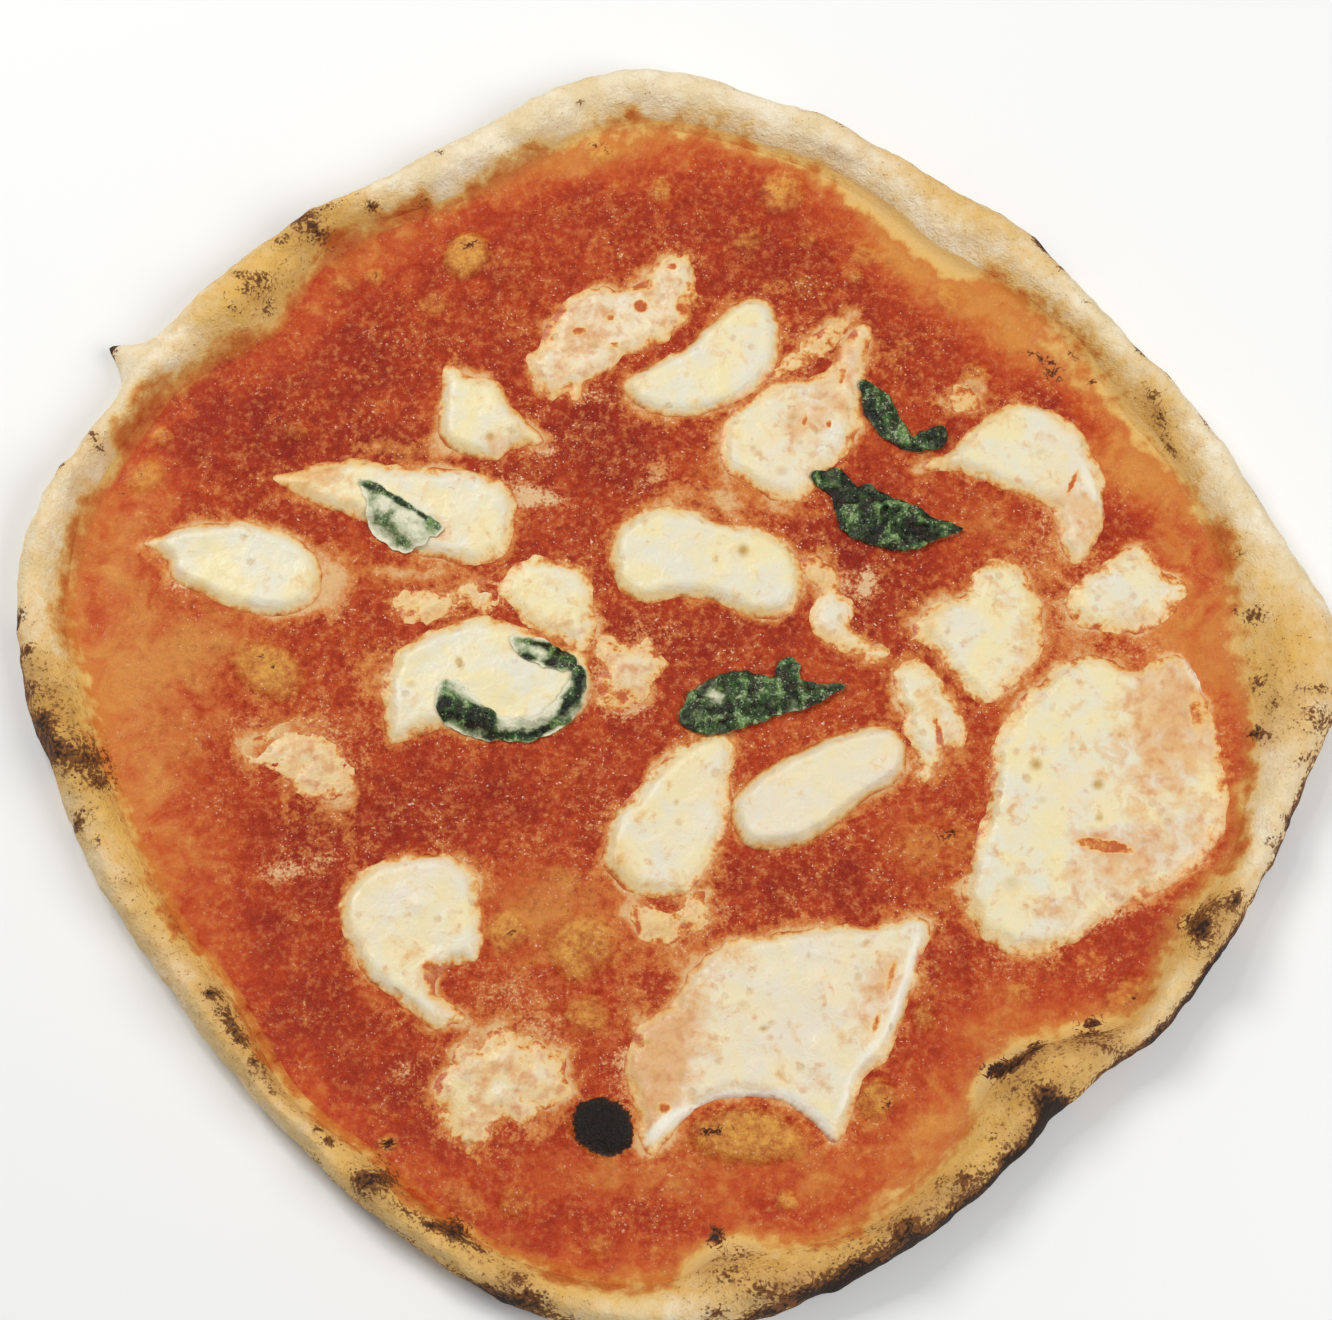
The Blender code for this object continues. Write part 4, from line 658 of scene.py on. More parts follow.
def rim_curve():
    """The rim's section as fine points, from the foot, over the top and down to the underside."""
    rows = np.array(RIM_SECTION)
    fine = [between(*rows[i - 1:i + 3], step / RIM_STEPS)
            for i in range(1, len(rows) - 2) for step in range(RIM_STEPS)]
    return np.array(fine + [rows[-2], rows[-1]])


RIM_CURVE = rim_curve()
DOUGH_TOP = np.vstack([np.array(FLOOR_SECTION), RIM_CURVE[1:3 * RIM_STEPS]])


def dough_height(x, y):
    """The top of the dough under the sauce and part way up the inner side of the rim."""
    angle, turned = np.arctan2(y, x), turned_radius(x, y)
    section = np.interp(turned, DOUGH_TOP[:, 0], DOUGH_TOP[:, 1])
    return pressed(turned * np.cos(angle), turned * np.sin(angle), section)[2]


def bubble_rise(x, y):
    """How far the dough's bubbles lift the sauce, and how bare they leave it."""
    rise, bare = np.zeros_like(x), np.zeros_like(x)
    uneven = 1 + rough(x, y, (0.22, 6.0, 26), (0.1, 2.6, 27))
    for bx, by, length, width, turn, height, bareness in BUBBLES:
        along, across = in_oval(x, y, bx, by, length, width, turn)
        far = (along ** 2 + across ** 2) * uneven
        dome = np.sqrt(np.clip(1 - 0.8 * far, 0, 1)) * smooth_step(-far, -1.25, -0.7)
        rise = np.maximum(rise, height * dome)
        bare = np.maximum(bare, bareness * smooth_step(-far, -1.4, 0.1))
    return rise, bare


def black_blister(x, y):
    """The one bubble that has burnt right through, with a crisp edge."""
    far = np.hypot(*in_oval(x, y, *BUBBLES[0][:5]))
    return 1.7 * smooth_step(-far + 0.08 * flat_lumps(x, y, 2.4, 25), -1.06, -0.94)


def small_bubbles():
    """Faint bubbles under the sauce, thickest towards the rim: x, y, radius, rise."""
    draw = random.Random(41)
    found = []
    while len(found) < SMALL_BUBBLE_COUNT:
        angle, share = draw.uniform(0, 360), draw.uniform(0.45, 0.97) ** 0.7
        x, y = at_angle(angle, share * around(FOOT, angle))
        radius = draw.uniform(1.0, 3.4)
        if all(math.hypot(x - ox, y - oy) > radius + other for ox, oy, other, _ in found):
            found.append((x, y, radius, radius * draw.uniform(0.10, 0.22)))
    return found


SMALL_BUBBLES = small_bubbles()


def small_bubble_rise(x, y):
    """How far the small bubbles lift the sauce, and how near each place is to one."""
    rise, ring = np.zeros_like(x), np.zeros_like(x)
    for bx, by, radius, height in SMALL_BUBBLES:
        near = np.nonzero((abs(x - bx) < 1.6 * radius) & (abs(y - by) < 1.6 * radius))[0]
        far = ((x[near] - bx) ** 2 + (y[near] - by) ** 2) / radius ** 2
        rise[near] += height * np.exp(-far * 1.6)
        ring[near] = np.maximum(ring[near], np.exp(-far * 1.2))
    return rise, ring


def soaked(x, y):
    """How far sauce and oil have soaked in, from 1 in the sauce to 0 on clean dough past the rim's foot."""
    past = np.hypot(x, y) - around(FOOT, angle_of(x, y)) + 9.0 * np.clip(spread(x, y, CLEAN), 0, 1)
    past = past + rough(x, y, (2.4, 11.0, 53), (1.4, 4.0, 54), (0.6, 1.8, 55))
    seeped = np.clip(spread(x, y, OILED), 0, 1)
    return smooth_step(-past, -6.0 - 6.5 * seeped, 2.5 + 5.0 * seeped)


def sauce_height(x, y):
    """The top of the sauce, with the bubbles that lift it and the pulp in it."""
    turned = turned_radius(x, y)
    hem = 0.10 * flat_lumps(x, y, 6.0, 28) * smooth_step(turned, 130.0, 140.0)
    body = np.interp(turned, *zip(*SAUCE_BODY)) + hem
    rise = bubble_rise(x, y)[0] + small_bubble_rise(x, y)[0]
    pulp = rough(x, y, (0.18, 9.0, 21), (0.12, 3.4, 22), (0.07, 1.7, 23))
    fading = smooth_step(-turned, -141.0, -132.0)
    return dough_height(x, y) + body + (rise + pulp) * fading


def smooth_loop(points, spacing):
    """Evenly spaced points on a smooth closed curve through an outline's points."""
    corners = np.asarray(points, float)
    share = (np.arange(OUTLINE_STEPS) / OUTLINE_STEPS)[None, :, None]
    fine = between(*(np.roll(corners, -k, 0)[:, None] for k in (-1, 0, 1, 2)), share).reshape(-1, 2)
    closed = np.vstack([fine, fine[:1]])
    travelled = travelled_along(closed)
    places = np.arange(0, travelled[-1] - spacing / 2, spacing)
    return np.stack([np.interp(places, travelled, closed[:, k]) for k in (0, 1)], 1)


def depth_inside(loop, x, y):
    """How far each place is inside the loop; outside it counts down."""
    nearest, inside = np.full(x.shape, np.inf), np.zeros(x.shape, bool)
    for a, b in zip(loop, np.roll(loop, -1, 0)):
        side = b - a
        share = np.clip(((x - a[0]) * side[0] + (y - a[1]) * side[1]) / (side @ side), 0, 1)
        nearest = np.minimum(nearest, np.hypot(x - a[0] - share * side[0], y - a[1] - share * side[1]))
        if side[1]:
            inside ^= ((a[1] > y) != (b[1] > y)) & (x < a[0] + (y - a[1]) * side[0] / side[1])
    return np.where(inside, nearest, -nearest)


CHEESE_LOOPS = {row[0]: smooth_loop(row[5], CHEESE_OUTLINE_SPACING) for row in MOZZARELLA}
CHEESE_ROWS = {row[0]: row for row in MOZZARELLA}


def cheese_depth(name, x, y):
    """Depth inside a piece whose edge wanders the more it has melted."""
    _, _, melted, _, softness, _ = CHEESE_ROWS[name]
    wander = 0.3 + 1.6 * melted + 0.9 * softness
    ragged = rough(x, y, (0.9, 5.6, 31), (0.6, 2.4, 32), (0.25, 1.2, 30))
    return depth_inside(CHEESE_LOOPS[name], x, y) + wander * ragged - 0.2 * softness


def cheese_rise(name, depth, x, y):
    """How far a piece stands above the sauce: a rounded body with a lip, swellings and sunken places."""
    _, thickness, melted, _, softness, _ = CHEESE_ROWS[name]
    rounding = 2.8 + 4.6 * softness
    dome = smooth_step(depth, -0.3, rounding) ** 0.85
    lip = 0.26 * (1 - melted) * np.exp(-((depth - 0.75 * rounding) / 1.3) ** 2)
    lip = lip + 0.45 * np.clip(spread(x, y, LIPPED), 0, 1) * smooth_step(depth, 0.0, 1.5)
    swell = rough(x, y, (0.34, 10.0, 33), (0.12 + 0.2 * melted, 3.6, 34), (0.10 * melted, 1.8, 35))
    sunk = 0.5 * np.clip(spread(x, y, BLOTCHED), 0, 1)
    return 0.04 + (thickness - 0.8) * dome * (1 - 0.55 * sunk) + (lip + swell * np.clip(depth / 3, 0, 1))


def close_to(loop, margin, x, y):
    """Which places are in the box round a loop, with a margin."""
    low, high = loop.min(0) - margin, loop.max(0) + margin
    return np.nonzero((x > low[0]) & (x < high[0]) & (y > low[1]) & (y < high[1]))[0]


def topping_height(x, y):
    """The highest of the sauce and the cheese at each place."""
    top = sauce_height(x, y)
    for name, loop in CHEESE_LOOPS.items():
        near = close_to(loop, 1, x, y)
        if len(near):
            depth = cheese_depth(name, x[near], y[near])
            rise = cheese_rise(name, depth, x[near], y[near])
            top[near] = np.where(depth > 0, top[near] + np.maximum(rise, 0), top[near])
    return top


def milk_halo(x, y):
    """How much milk has run into the sauce, and how much fat rings each piece of cheese."""
    nearest = np.full(x.shape, 99.0)
    for name, loop in CHEESE_LOOPS.items():
        near = close_to(loop, 12, x, y)
        if len(near):
            nearest[near] = np.minimum(nearest[near], -cheese_depth(name, x[near], y[near]))
    nearest = np.clip(nearest, 0, None)
    milk = 0.55 * np.exp(-nearest / 4.5) * (0.8 + 0.7 * flat_lumps(x, y, 9.0, 51))
    ring = 1.15 * np.exp(-nearest / 2.4) * (0.75 + 0.9 * flat_lumps(x, y, 8.0, 52))
    return np.clip(milk + spread(x, y, MILKY), 0, 1.5), np.clip(ring + spread(x, y, BUTTERED), 0, 1.3)


def deselect():
    """Leaves nothing selected."""
    bpy.ops.object.select_all(action="DESELECT")


def pick(piece):
    """Selects this piece alone and makes it the active one."""
    deselect()
    bpy.context.view_layer.objects.active = piece
    piece.select_set(True)


def points_of(piece):
    """A piece's points in millimetres, as x, y and z."""
    flat = np.empty(len(piece.data.vertices) * 3)
    piece.data.vertices.foreach_get("co", flat)
    return flat.reshape(-1, 3).T / MM


def place_points(piece, x, y, z):
    """Moves a piece's points to places in millimetres."""
    piece.data.vertices.foreach_set("co", (np.stack([x, y, z], 1) * MM).ravel())
    piece.data.update()


def mark(piece, **fields):
    """Writes one number a point for each named field, for the materials to read."""
    for name, values in fields.items():
        field = piece.data.attributes.new(name, "FLOAT", "POINT")
        field.data.foreach_set("value", np.asarray(values, np.float32))


def pick_points(piece, chosen):
    """Selects just these points of a piece, and nothing else in the scene."""
    pick(piece)
    mesh = piece.data
    mesh.polygons.foreach_set("select", np.zeros(len(mesh.polygons), bool))
    mesh.edges.foreach_set("select", np.zeros(len(mesh.edges), bool))
    mesh.vertices.foreach_set("select", chosen)
    bpy.context.tool_settings.mesh_select_mode = (True, False, False)


def close_up():
    """Fills the selected edge with one face, turns all faces outwards and ends the editing."""
    bpy.ops.mesh.edge_face_add()
    bpy.ops.mesh.select_all(action="SELECT")
    bpy.ops.mesh.normals_make_consistent(inside=False)
    bpy.ops.object.mode_set(mode="OBJECT")


def apply_modifier(piece, kind, **settings):
    """Adds a modifier with its settings and applies it."""
    modifier = piece.modifiers.new(kind.lower(), kind)
    for name, value in settings.items():
        setattr(modifier, name, value)
    pick(piece)
    bpy.ops.object.modifier_apply(modifier=modifier.name)


def finish_piece(piece, name, node, material):
    """Names a piece, gives it its material and its shading, puts it under the root body and hides the solid
    it stands for.
    """
    piece.name = piece.data.name = name
    piece.data.materials.clear()
    piece.data.materials.append(material)
    piece.data.shade_smooth()
    piece.data.set_sharp_from_angle(angle=SHARP_ANGLE)
    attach(piece, "root")
    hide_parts(node)
    return piece


def rim_line():
    """The rim's section as evenly spaced points."""
    travelled = travelled_along(RIM_CURVE)
    places = np.linspace(0, travelled[-1], RIM_RINGS)
    return [tuple(np.interp(p, travelled, RIM_CURVE[:, k]) for k in (0, 1)) for p in places]


def spike(px, py, pz):
    """Draws the rim out into the burnt tip at the upper left."""
    reach = np.hypot(px, py)
    off = np.radians(angle_of(px, py) - SPIKE_ANGLE) * reach
    shape = np.exp(-(np.abs(off) / SPIKE_HALF_WIDTH) ** 1.5)
    shape = shape * np.exp(-((pz - SPIKE_HEIGHT) / SPIKE_DEPTH) ** 2)
    pull = (SPIKE_REACH - SPIKE_ROOT) * shape * smooth_step(reach, 150.0, 157.0)
    grown = (reach + pull) / reach
    return px * grown, py * grown, pz - 0.15 * pull


def skin_blisters():
    """Small blisters in the skin of the rim: x, y, radius, height."""
    draw = random.Random(67)
    found = []
    for _ in range(SKIN_BLISTER_COUNT):
        angle, out = draw.uniform(0, 360), draw.uniform(0.12, 0.95)
        foot, edge = around(FOOT, angle), around(OUTER, angle)
        x, y = at_angle(angle, foot + out * (edge - foot))
        radius = draw.uniform(1.2, 3.6)
        found.append((x, y, radius, radius * draw.uniform(0.10, 0.24)))
    return found


def turned_dough():
    """The disc as if turned on a wheel: a ring drawn out over the floor, over the rim and in underneath."""
    floor = [(r, float(np.interp(r, *zip(*FLOOR_SECTION)))) for r in FLOOR_RADII]
    section = floor + rim_line() + [(r, 0.0) for r in UNDERSIDE_RADII]
    first_radius, first_height = section[0]
    deselect()
    bpy.ops.mesh.primitive_circle_add(
        vertices=CRUST_STEPS, radius=first_radius * MM, location=(0, 0, first_height * MM))
    crust = bpy.context.object
    bpy.ops.object.transform_apply(location=True)
    bpy.ops.object.mode_set(mode="EDIT")
    bpy.ops.mesh.select_all(action="SELECT")
    for (radius, height), (wider, higher) in zip(section, section[1:]):
        bpy.ops.mesh.extrude_region_move(TRANSFORM_OT_translate={"value": (0, 0, (higher - height) * MM)})
        bpy.ops.transform.resize(value=(wider / radius, wider / radius, 1))
    bpy.ops.mesh.edge_face_add()
    bpy.ops.mesh.select_all(action="DESELECT")
    bpy.ops.object.mode_set(mode="OBJECT")
    x, y, z = points_of(crust)
    pick_points(crust, (np.hypot(x, y) < first_radius * 1.01) & (z > 1))
    bpy.ops.object.mode_set(mode="EDIT")
    close_up()
    return crust


def rim_relief(place, toasted, burnt):
    """The lumps, blisters and crags of the rim's skin."""
    px, py, _ = place
    relief = 0.62 * lumps(place, 12.0, 61) + 0.42 * lumps(place, 5.2, 62) + 0.16 * lumps(place, 2.4, 63)
    for bx, by, radius, height in skin_blisters():
        near = np.nonzero((abs(px - bx) < 2 * radius) & (abs(py - by) < 2 * radius))[0]
        far = ((px[near] - bx) ** 2 + (py[near] - by) ** 2) / radius ** 2
        relief[near] += height * np.exp(-far ** 1.5)
    crag = 0.55 * np.clip(lumps(place, 3.2, 64), 0, 1) * (toasted + 0.25) + 0.5 * np.clip(burnt, 0, 1)
    return relief + crag


def scorched_edge(turned, height, skin):
    """How black the outer side of the rim is, in ragged bands between two angles."""
    lower = smooth_step(-height, -8.0, -4.0) * smooth_step(height, -1.0, 2.0)
    outside = smooth_step(turned, 152.5, 157.5) * smooth_step(-height, -12.6, -8.0)
    outside += smooth_step(turned, 149.0, 152.0) * lower
    ragged = 0.3 * lumps(skin, 6.0, 71) + 0.2 * lumps(skin, 2.6, 72) + 0.45 * lumps(skin, 15.0, 73) - 0.12
    wander = angle_of(skin[0], skin[1]) % 360 + 5.0 * lumps(skin, 11.0, 74)
    scorched = np.zeros_like(turned)
    for first, last, strength in SCORCHED_EDGE:
        band = smooth_step(wander, first - 5, first + 5) * smooth_step(-wander, -last - 5, -last + 5)
        scorched = np.maximum(scorched, strength * band)
    return np.clip(scorched * np.clip(outside, 0, 1) * (1.0 + ragged), 0, 1.3)


def make_crust(material):
    """The dough, pressed from the turned disc, with its relief and the fields that its material reads."""
    crust = turned_dough()
    x, y, z = points_of(crust)
    turned, over = np.hypot(x, y), z > 0.01
    place = pressed(x, y, z)
    px, py, pz = place
    singed = [(sx, sy, 2.2 * length, 2.2 * width, turn, 0.3 * strength)
              for sx, sy, length, width, turn, strength in BURNT_CRUST]
    toasted = np.clip(spread(px, py, TOASTED) + spread(px, py, singed), 0, 1.3)
    burnt = np.clip(spread(px, py, BURNT_CRUST), 0, 1.6)
    upper = smooth_step(z, 0.3, 4.0) * smooth_step(turned, 141.5, 147.0)
    pz = pz + upper * rim_relief(place, toasted, burnt) * smooth_step(z, 2.0, 9.0)
    # Under the sauce the floor is a little lower, so that the sauce's sheet covers it
    lowered = 0.4 * smooth_step(-turned, -142.6, -140.2) + 0.3 * smooth_step(-turned, -138.0, -130.0)
    pz = pz - lowered * over * (z < 9)
    wander = upper * smooth_step(turned, 150.0, 157.0) * smooth_step(pz, 0.5, 3.0)
    wander = wander * (0.55 * lumps(place, 7.0, 65) + 0.35 * lumps(place, 3.0, 66)) / np.hypot(px, py)
    px, py, pz = spike(px * (1 + wander), py * (1 + wander), pz)
    bend = HIGHEST - 2
    pz = np.where(pz > bend, bend + 2 * np.tanh((pz - bend) / 2), pz)
    place_points(crust, px, py, np.where(over, np.maximum(pz, 0.02), 0.0))

    scorched = scorched_edge(turned, z, (px, py, pz))
    near_tip = np.abs(angle_of(px, py) % 360 - SPIKE_ANGLE) < 4
    tip = smooth_step(np.hypot(px, py), 164.5, 168.5) * near_tip
    inner = smooth_step(-turned, -150.0, -140.5)
    under = smooth_step(-z, -0.6, -0.05) * (turned < 152)
    mark(
        crust,
        toast=np.clip(toasted + 0.35 * scorched + 0.55 * under + 0.12 * inner + 0.12, 0, 1.5),
        burnt=np.clip(burnt + scorched + 1.4 * tip + 0.28 * under, 0, 1.8),
        soak=soaked(px, py) * smooth_step(z, 0.5, 3.0),
        gold=np.clip(spread(px, py, GOLDEN), 0, 1.1))
    return finish_piece(crust, "blistered_crust", "dough", material)


def make_sauce(material):
    """The sauce: a grid drawn to the pizza's outline, with its edge turned down and closed underneath."""
    deselect()
    bpy.ops.mesh.primitive_grid_add(
        x_subdivisions=SAUCE_DIVISIONS, y_subdivisions=SAUCE_DIVISIONS, size=2 * MM)
    sauce = bpy.context.object
    u, v, _ = points_of(sauce)
    # The square goes to a disc, so that its cells stay even, and then to the outline
    wide = np.abs(u) >= np.abs(v)
    major = np.maximum(np.abs(u), np.abs(v))
    swing = math.pi / 4 * np.where(wide, v, u) / np.maximum(major, 1e-9)
    angle = np.where(
        wide, np.where(u >= 0, swing, math.pi - swing),
        np.where(v >= 0, math.pi / 2 - swing, -math.pi / 2 + swing))
    foot, edge = around(FOOT, np.degrees(angle)), around(OUTER, np.degrees(angle))
    climb = (SAUCE_REACH - TURNED_FOOT) / (TURNED_EDGE - TURNED_FOOT) * (edge - foot)
    reach = major * (foot + climb)
    x, y = reach * np.cos(angle), reach * np.sin(angle)
    place_points(sauce, x, y, sauce_height(x, y))
    pick_points(sauce, major > 1 - 1e-6)
    bpy.ops.object.mode_set(mode="EDIT")
    for shrink in (0.995, 0.96, 0.7, 0.35):
        bpy.ops.mesh.extrude_region_move()
        bpy.ops.transform.resize(value=(shrink, shrink, 1), center_override=(0, 0, 0))
    close_up()
    x, y, z = points_of(sauce)
    below = np.arange(len(x)) >= len(u)
    place_points(sauce, x, y, np.where(below, dough_height(x, y) + SAUCE_UNDERSIDE, z))

    share = sauce_share(x, y)
    _, bare = bubble_rise(x, y)
    _, ring = small_bubble_rise(x, y)
    hem = smooth_step(share, 0.88, 1.0) * (0.7 + 0.6 * flat_lumps(x, y, 16.0, 81))
    thin = spread(x, y, THINNED) + 0.5 * hem + 0.4 * ring + rough(x, y, (0.16, 14.0, 82), (0.12, 6.0, 83))
    milk, fat = milk_halo(x, y)
    mark(
        sauce, thin=np.clip(thin, -1, 1.3), milk=milk, fat=fat, bare=np.clip(bare, 0, 1), soak=soaked(x, y),
        burnt=np.clip(spread(x, y, BURNT_SAUCE + BURNT_CRUST) + black_blister(x, y), 0, 1.8),
        grainy=np.clip(1.15 - 0.55 * smooth_step(share, 0.74, 0.99) - 0.35 * np.clip(thin, 0, 1), 0, 1.2))
    return finish_piece(sauce, "tomato_pulp", "tomato_sauce", material)


def cut_sheet(depth_of, low, high, spacing):
    """A flat grid cut to an outline: its edge is drawn to the outline and its other points are evened."""
    cells = np.ceil((high - low) / spacing).astype(int)
    deselect()
    bpy.ops.mesh.primitive_grid_add(x_subdivisions=int(cells[0]), y_subdivisions=int(cells[1]), size=2 * MM)
    sheet = bpy.context.object
    u, v, _ = points_of(sheet)
    x = low[0] + (u + 1) / 2 * cells[0] * spacing
    y = low[1] + (v + 1) / 2 * cells[1] * spacing
    place_points(sheet, x, y, np.zeros_like(x))
    pick_points(sheet, depth_of(x, y) < -0.3 * spacing)
    bpy.ops.object.mode_set(mode="EDIT")
    bpy.ops.mesh.delete(type="VERT")
    bpy.ops.mesh.select_all(action="SELECT")
    bpy.ops.mesh.delete_loose(use_verts=True, use_edges=True, use_faces=False)
    bpy.ops.mesh.select_all(action="DESELECT")
    bpy.ops.mesh.select_non_manifold()
    bpy.ops.object.mode_set(mode="OBJECT")
    mesh = sheet.data
    edge = np.zeros(len(mesh.vertices), bool)
    mesh.vertices.foreach_get("select", edge)
    x, y, z = points_of(sheet)
    for _ in range(4):
        here = depth_of(x[edge], y[edge])
        slope_x = (depth_of(x[edge] + 0.2, y[edge]) - here) / 0.2
        slope_y = (depth_of(x[edge], y[edge] + 0.2) - here) / 0.2
        steep = np.maximum(slope_x ** 2 + slope_y ** 2, 0.2)
        x[edge] -= np.clip(here * slope_x / steep, -spacing, spacing)
        y[edge] -= np.clip(here * slope_y / steep, -spacing, spacing)
    ends = np.empty(len(mesh.edges) * 2, int)
    mesh.edges.foreach_get("vertices", ends)
    a, b = ends.reshape(-1, 2).T
    count = np.bincount(a, minlength=len(x)) + np.bincount(b, minlength=len(x))
    for _ in range(6):
        mean_x = (np.bincount(a, x[b], len(x)) + np.bincount(b, x[a], len(x))) / count
        mean_y = (np.bincount(a, y[b], len(x)) + np.bincount(b, y[a], len(x))) / count
        x, y = np.where(edge, x, mean_x), np.where(edge, y, mean_y)
    place_points(sheet, x, y, z)
    return sheet


def make_cheese(row, material):
    """One melted piece: a sheet cut to its outline, given a body, and laid on the sauce."""
    name, _, melted, pink, softness, _ = row
    loop = CHEESE_LOOPS[name]

    def depth_of(x, y):
        return cheese_depth(name, x, y)

    piece = cut_sheet(depth_of, loop.min(0) - 3, loop.max(0) + 3, CHEESE_SPACING)
    apply_modifier(piece, "SOLIDIFY", thickness=MM, offset=-1.0)
    x, y, z = points_of(piece)
    depth = depth_of(x, y)
    bed = sauce_height(x, y)
    top = bed + cheese_rise(name, depth, x, y)
    place_points(piece, x, y, np.where(z > -0.5, top, bed - 0.45))
    blotched = np.clip(spread(x, y, BLOTCHED), 0, 1.3)
    opened = 0.92 * smooth_step(spread(x, y, OPENED), 0.15, 0.55)
    lipped = np.clip(spread(x, y, LIPPED), 0, 1)
    inside = np.minimum(depth / (1.3 + 3.4 * softness), 1.9 - 0.6 * opened) * (1 - opened) - 0.35 * opened
    # The lip field also paints the drawn-up lip whiter, partly as painted sheen
    mark(
        piece, inside=inside, lip=lipped, wash=blotched * (1 - lipped),
        ragged=np.full(x.shape, 0.3 + softness),
        butter=np.clip(spread(x, y, YELLOWED), 0, 1.2), fleck=np.clip(spread(x, y, FLECKS), 0, 1),
        melted=np.clip(melted + 0.4 * blotched, 0, 1.3) * (1 - lipped),
        pink=np.full(x.shape, pink) + 0.25 * flat_lumps(x, y, 15.0, 91))
    return finish_piece(piece, "melted_" + name, "mozzarella_" + name, material)


def make_leaf(row, material):
    """One wilted leaf: a sheet cut to its outline, creased, laid on what is below it and thickened."""
    name, crease, milk, outline = row
    loop = smooth_loop(outline, LEAF_OUTLINE_SPACING)

    def depth_of(x, y):
        return depth_inside(loop, x, y) + rough(x, y, (0.6, 3.2, 36), (0.45, 1.6, 40))

    leaf = cut_sheet(depth_of, loop.min(0) - 2, loop.max(0) + 2, LEAF_SPACING)
    x, y, _ = points_of(leaf)
    depth = depth_of(x, y)
    bed = np.maximum(topping_height(x, y), topping_height(x + 1.0, y))
    crest = np.clip(1 - 2.2 * np.abs(flat_lumps(x, y, 5.2, 37)), 0, 1)
    crinkle = np.clip(1 - 2.4 * np.abs(flat_lumps(x, y, 2.6, 38)), 0, 1)
    folds = 0.62 * crest + 0.42 * crinkle + 0.22 * flat_lumps(x, y, 1.3, 39)
    sag = 0.35 * flat_lumps(x, y, 9.0, 43)
    curl = 0.14 * np.exp(-depth / 1.2)
    z = bed + 0.1 + crease * ((0.3 + folds + sag) * np.clip(0.25 + depth / 3, 0, 1) + curl)
    place_points(leaf, x, y, np.maximum(z, bed + 0.05))
    veil = milk + spread(x, y, VEILED) + 0.5 * flat_lumps(x, y, 4.0, 92) * (milk > 0.2)
    # The fold field also drives the leaf's painted light and shade: lighter on the crests, darker in the
    # hollows
    mark(
        leaf, fold=smooth_step(folds, 0.1, 0.95), veil=np.clip(veil, 0, 1.2),
        margin=np.exp(-np.clip(depth, 0, None) / 0.8))
    apply_modifier(leaf, "SOLIDIFY", thickness=LEAF_THICKNESS * MM, offset=1.0)
    return finish_piece(leaf, "wilted_" + name, name, material)


def add(tree, kind, links, out=0, **settings):
    """Adds one shader node with its settings, values and links, and gives back one of its outputs."""
    node = tree.nodes.new("ShaderNode" + kind)
    for name, value in settings.items():
        setattr(node, name, value)
    for socket, value in links.items():
        if isinstance(value, bpy.types.NodeSocket):
            tree.links.new(value, node.inputs[socket])
        else:
            node.inputs[socket].default_value = value
    return node.outputs[out]


def blank_material(name, **constants):
    """A new material, its node tree and its shader, with constants on the shader's own sockets."""
    material = bpy.data.materials.new(name)
    material.use_nodes = True
    tree = material.node_tree
    shader = tree.nodes["Principled BSDF"]
    for socket, value in constants.items():
        shader.inputs[socket.replace("_", " ")].default_value = value
    return material, tree, shader


def layered(tree, colour, layers):
    """Lays tints over a colour, each where its field goes from low to high, and there as strong as most."""
    for field, low, high, most, tint in layers:
        share = add(tree, "MapRange", {"Value": field, "From Min": low, "From Max": high, "To Max": most})
        tint = linear(tint) if isinstance(tint, str) else tint
        colour = add(tree, "Mix", {0: share, 6: colour, 7: tint}, out=2, data_type="RGBA")
    return colour


def surfaced(tree, shader, colour, rough_skin, height, strength, distance):
    """Gives a shader its colour, its roughness and its bumps."""
    bump = add(tree, "Bump", {"Height": height, "Strength": strength, "Distance": distance})
    for socket, value in (("Base Color", colour), ("Roughness", rough_skin), ("Normal", bump)):
        tree.links.new(value, shader.inputs[socket])


def cracked(tree, place, burnt, grain):
    """Char that is whole in the middle and breaks up into fine dark cracks and dots at its edge."""
    worm = add(tree, "TexNoise", {"Vector": place, "Scale": 420.0, "Detail": 2.0, "Distortion": 0.6})
    line = add(tree, "Math", {0: worm, 1: 0.5}, operation="SUBTRACT")
    line = add(tree, "Math", {0: line}, operation="ABSOLUTE")
    line = add(tree, "MapRange", {"Value": line, "From Max": 0.10, "To Min": 0.34, "To Max": -0.24})
    speck = add(tree, "Math", {0: grain, 1: 1.1, 2: -0.55}, operation="MULTIPLY_ADD")
    char = add(tree, "Math", {0: burnt, 1: line}, operation="ADD")
    return add(tree, "Math", {0: char, 1: speck}, operation="ADD")


def stained(tree, place, soak, dough, sauce):
    """Dough, then a golden and an orange stain, then sauce, as the soaking rises, with a ragged border."""
    drift = add(tree, "TexNoise", {"Vector": place, "Scale": 230.0, "Detail": 5.0, "Roughness": 0.6})
    drift = add(tree, "Math", {0: drift, 1: 1.3, 2: -0.65}, operation="MULTIPLY_ADD")
    for low, high in ((0.0, 0.25), (0.98, 0.8)):
        fading = add(tree, "MapRange", {"Value": soak, "From Min": low, "From Max": high})
        drift = add(tree, "Math", {0: drift, 1: fading}, operation="MULTIPLY")
    soak = add(tree, "Math", {0: soak, 1: drift}, operation="ADD")
    return layered(tree, dough, (
        (soak, 0.0, 0.34, 0.85, "#E4B662"),
        (soak, 0.26, 0.58, 1.0, "#CC7A34"),
        (soak, 0.58, 0.95, 1.0, sauce)))


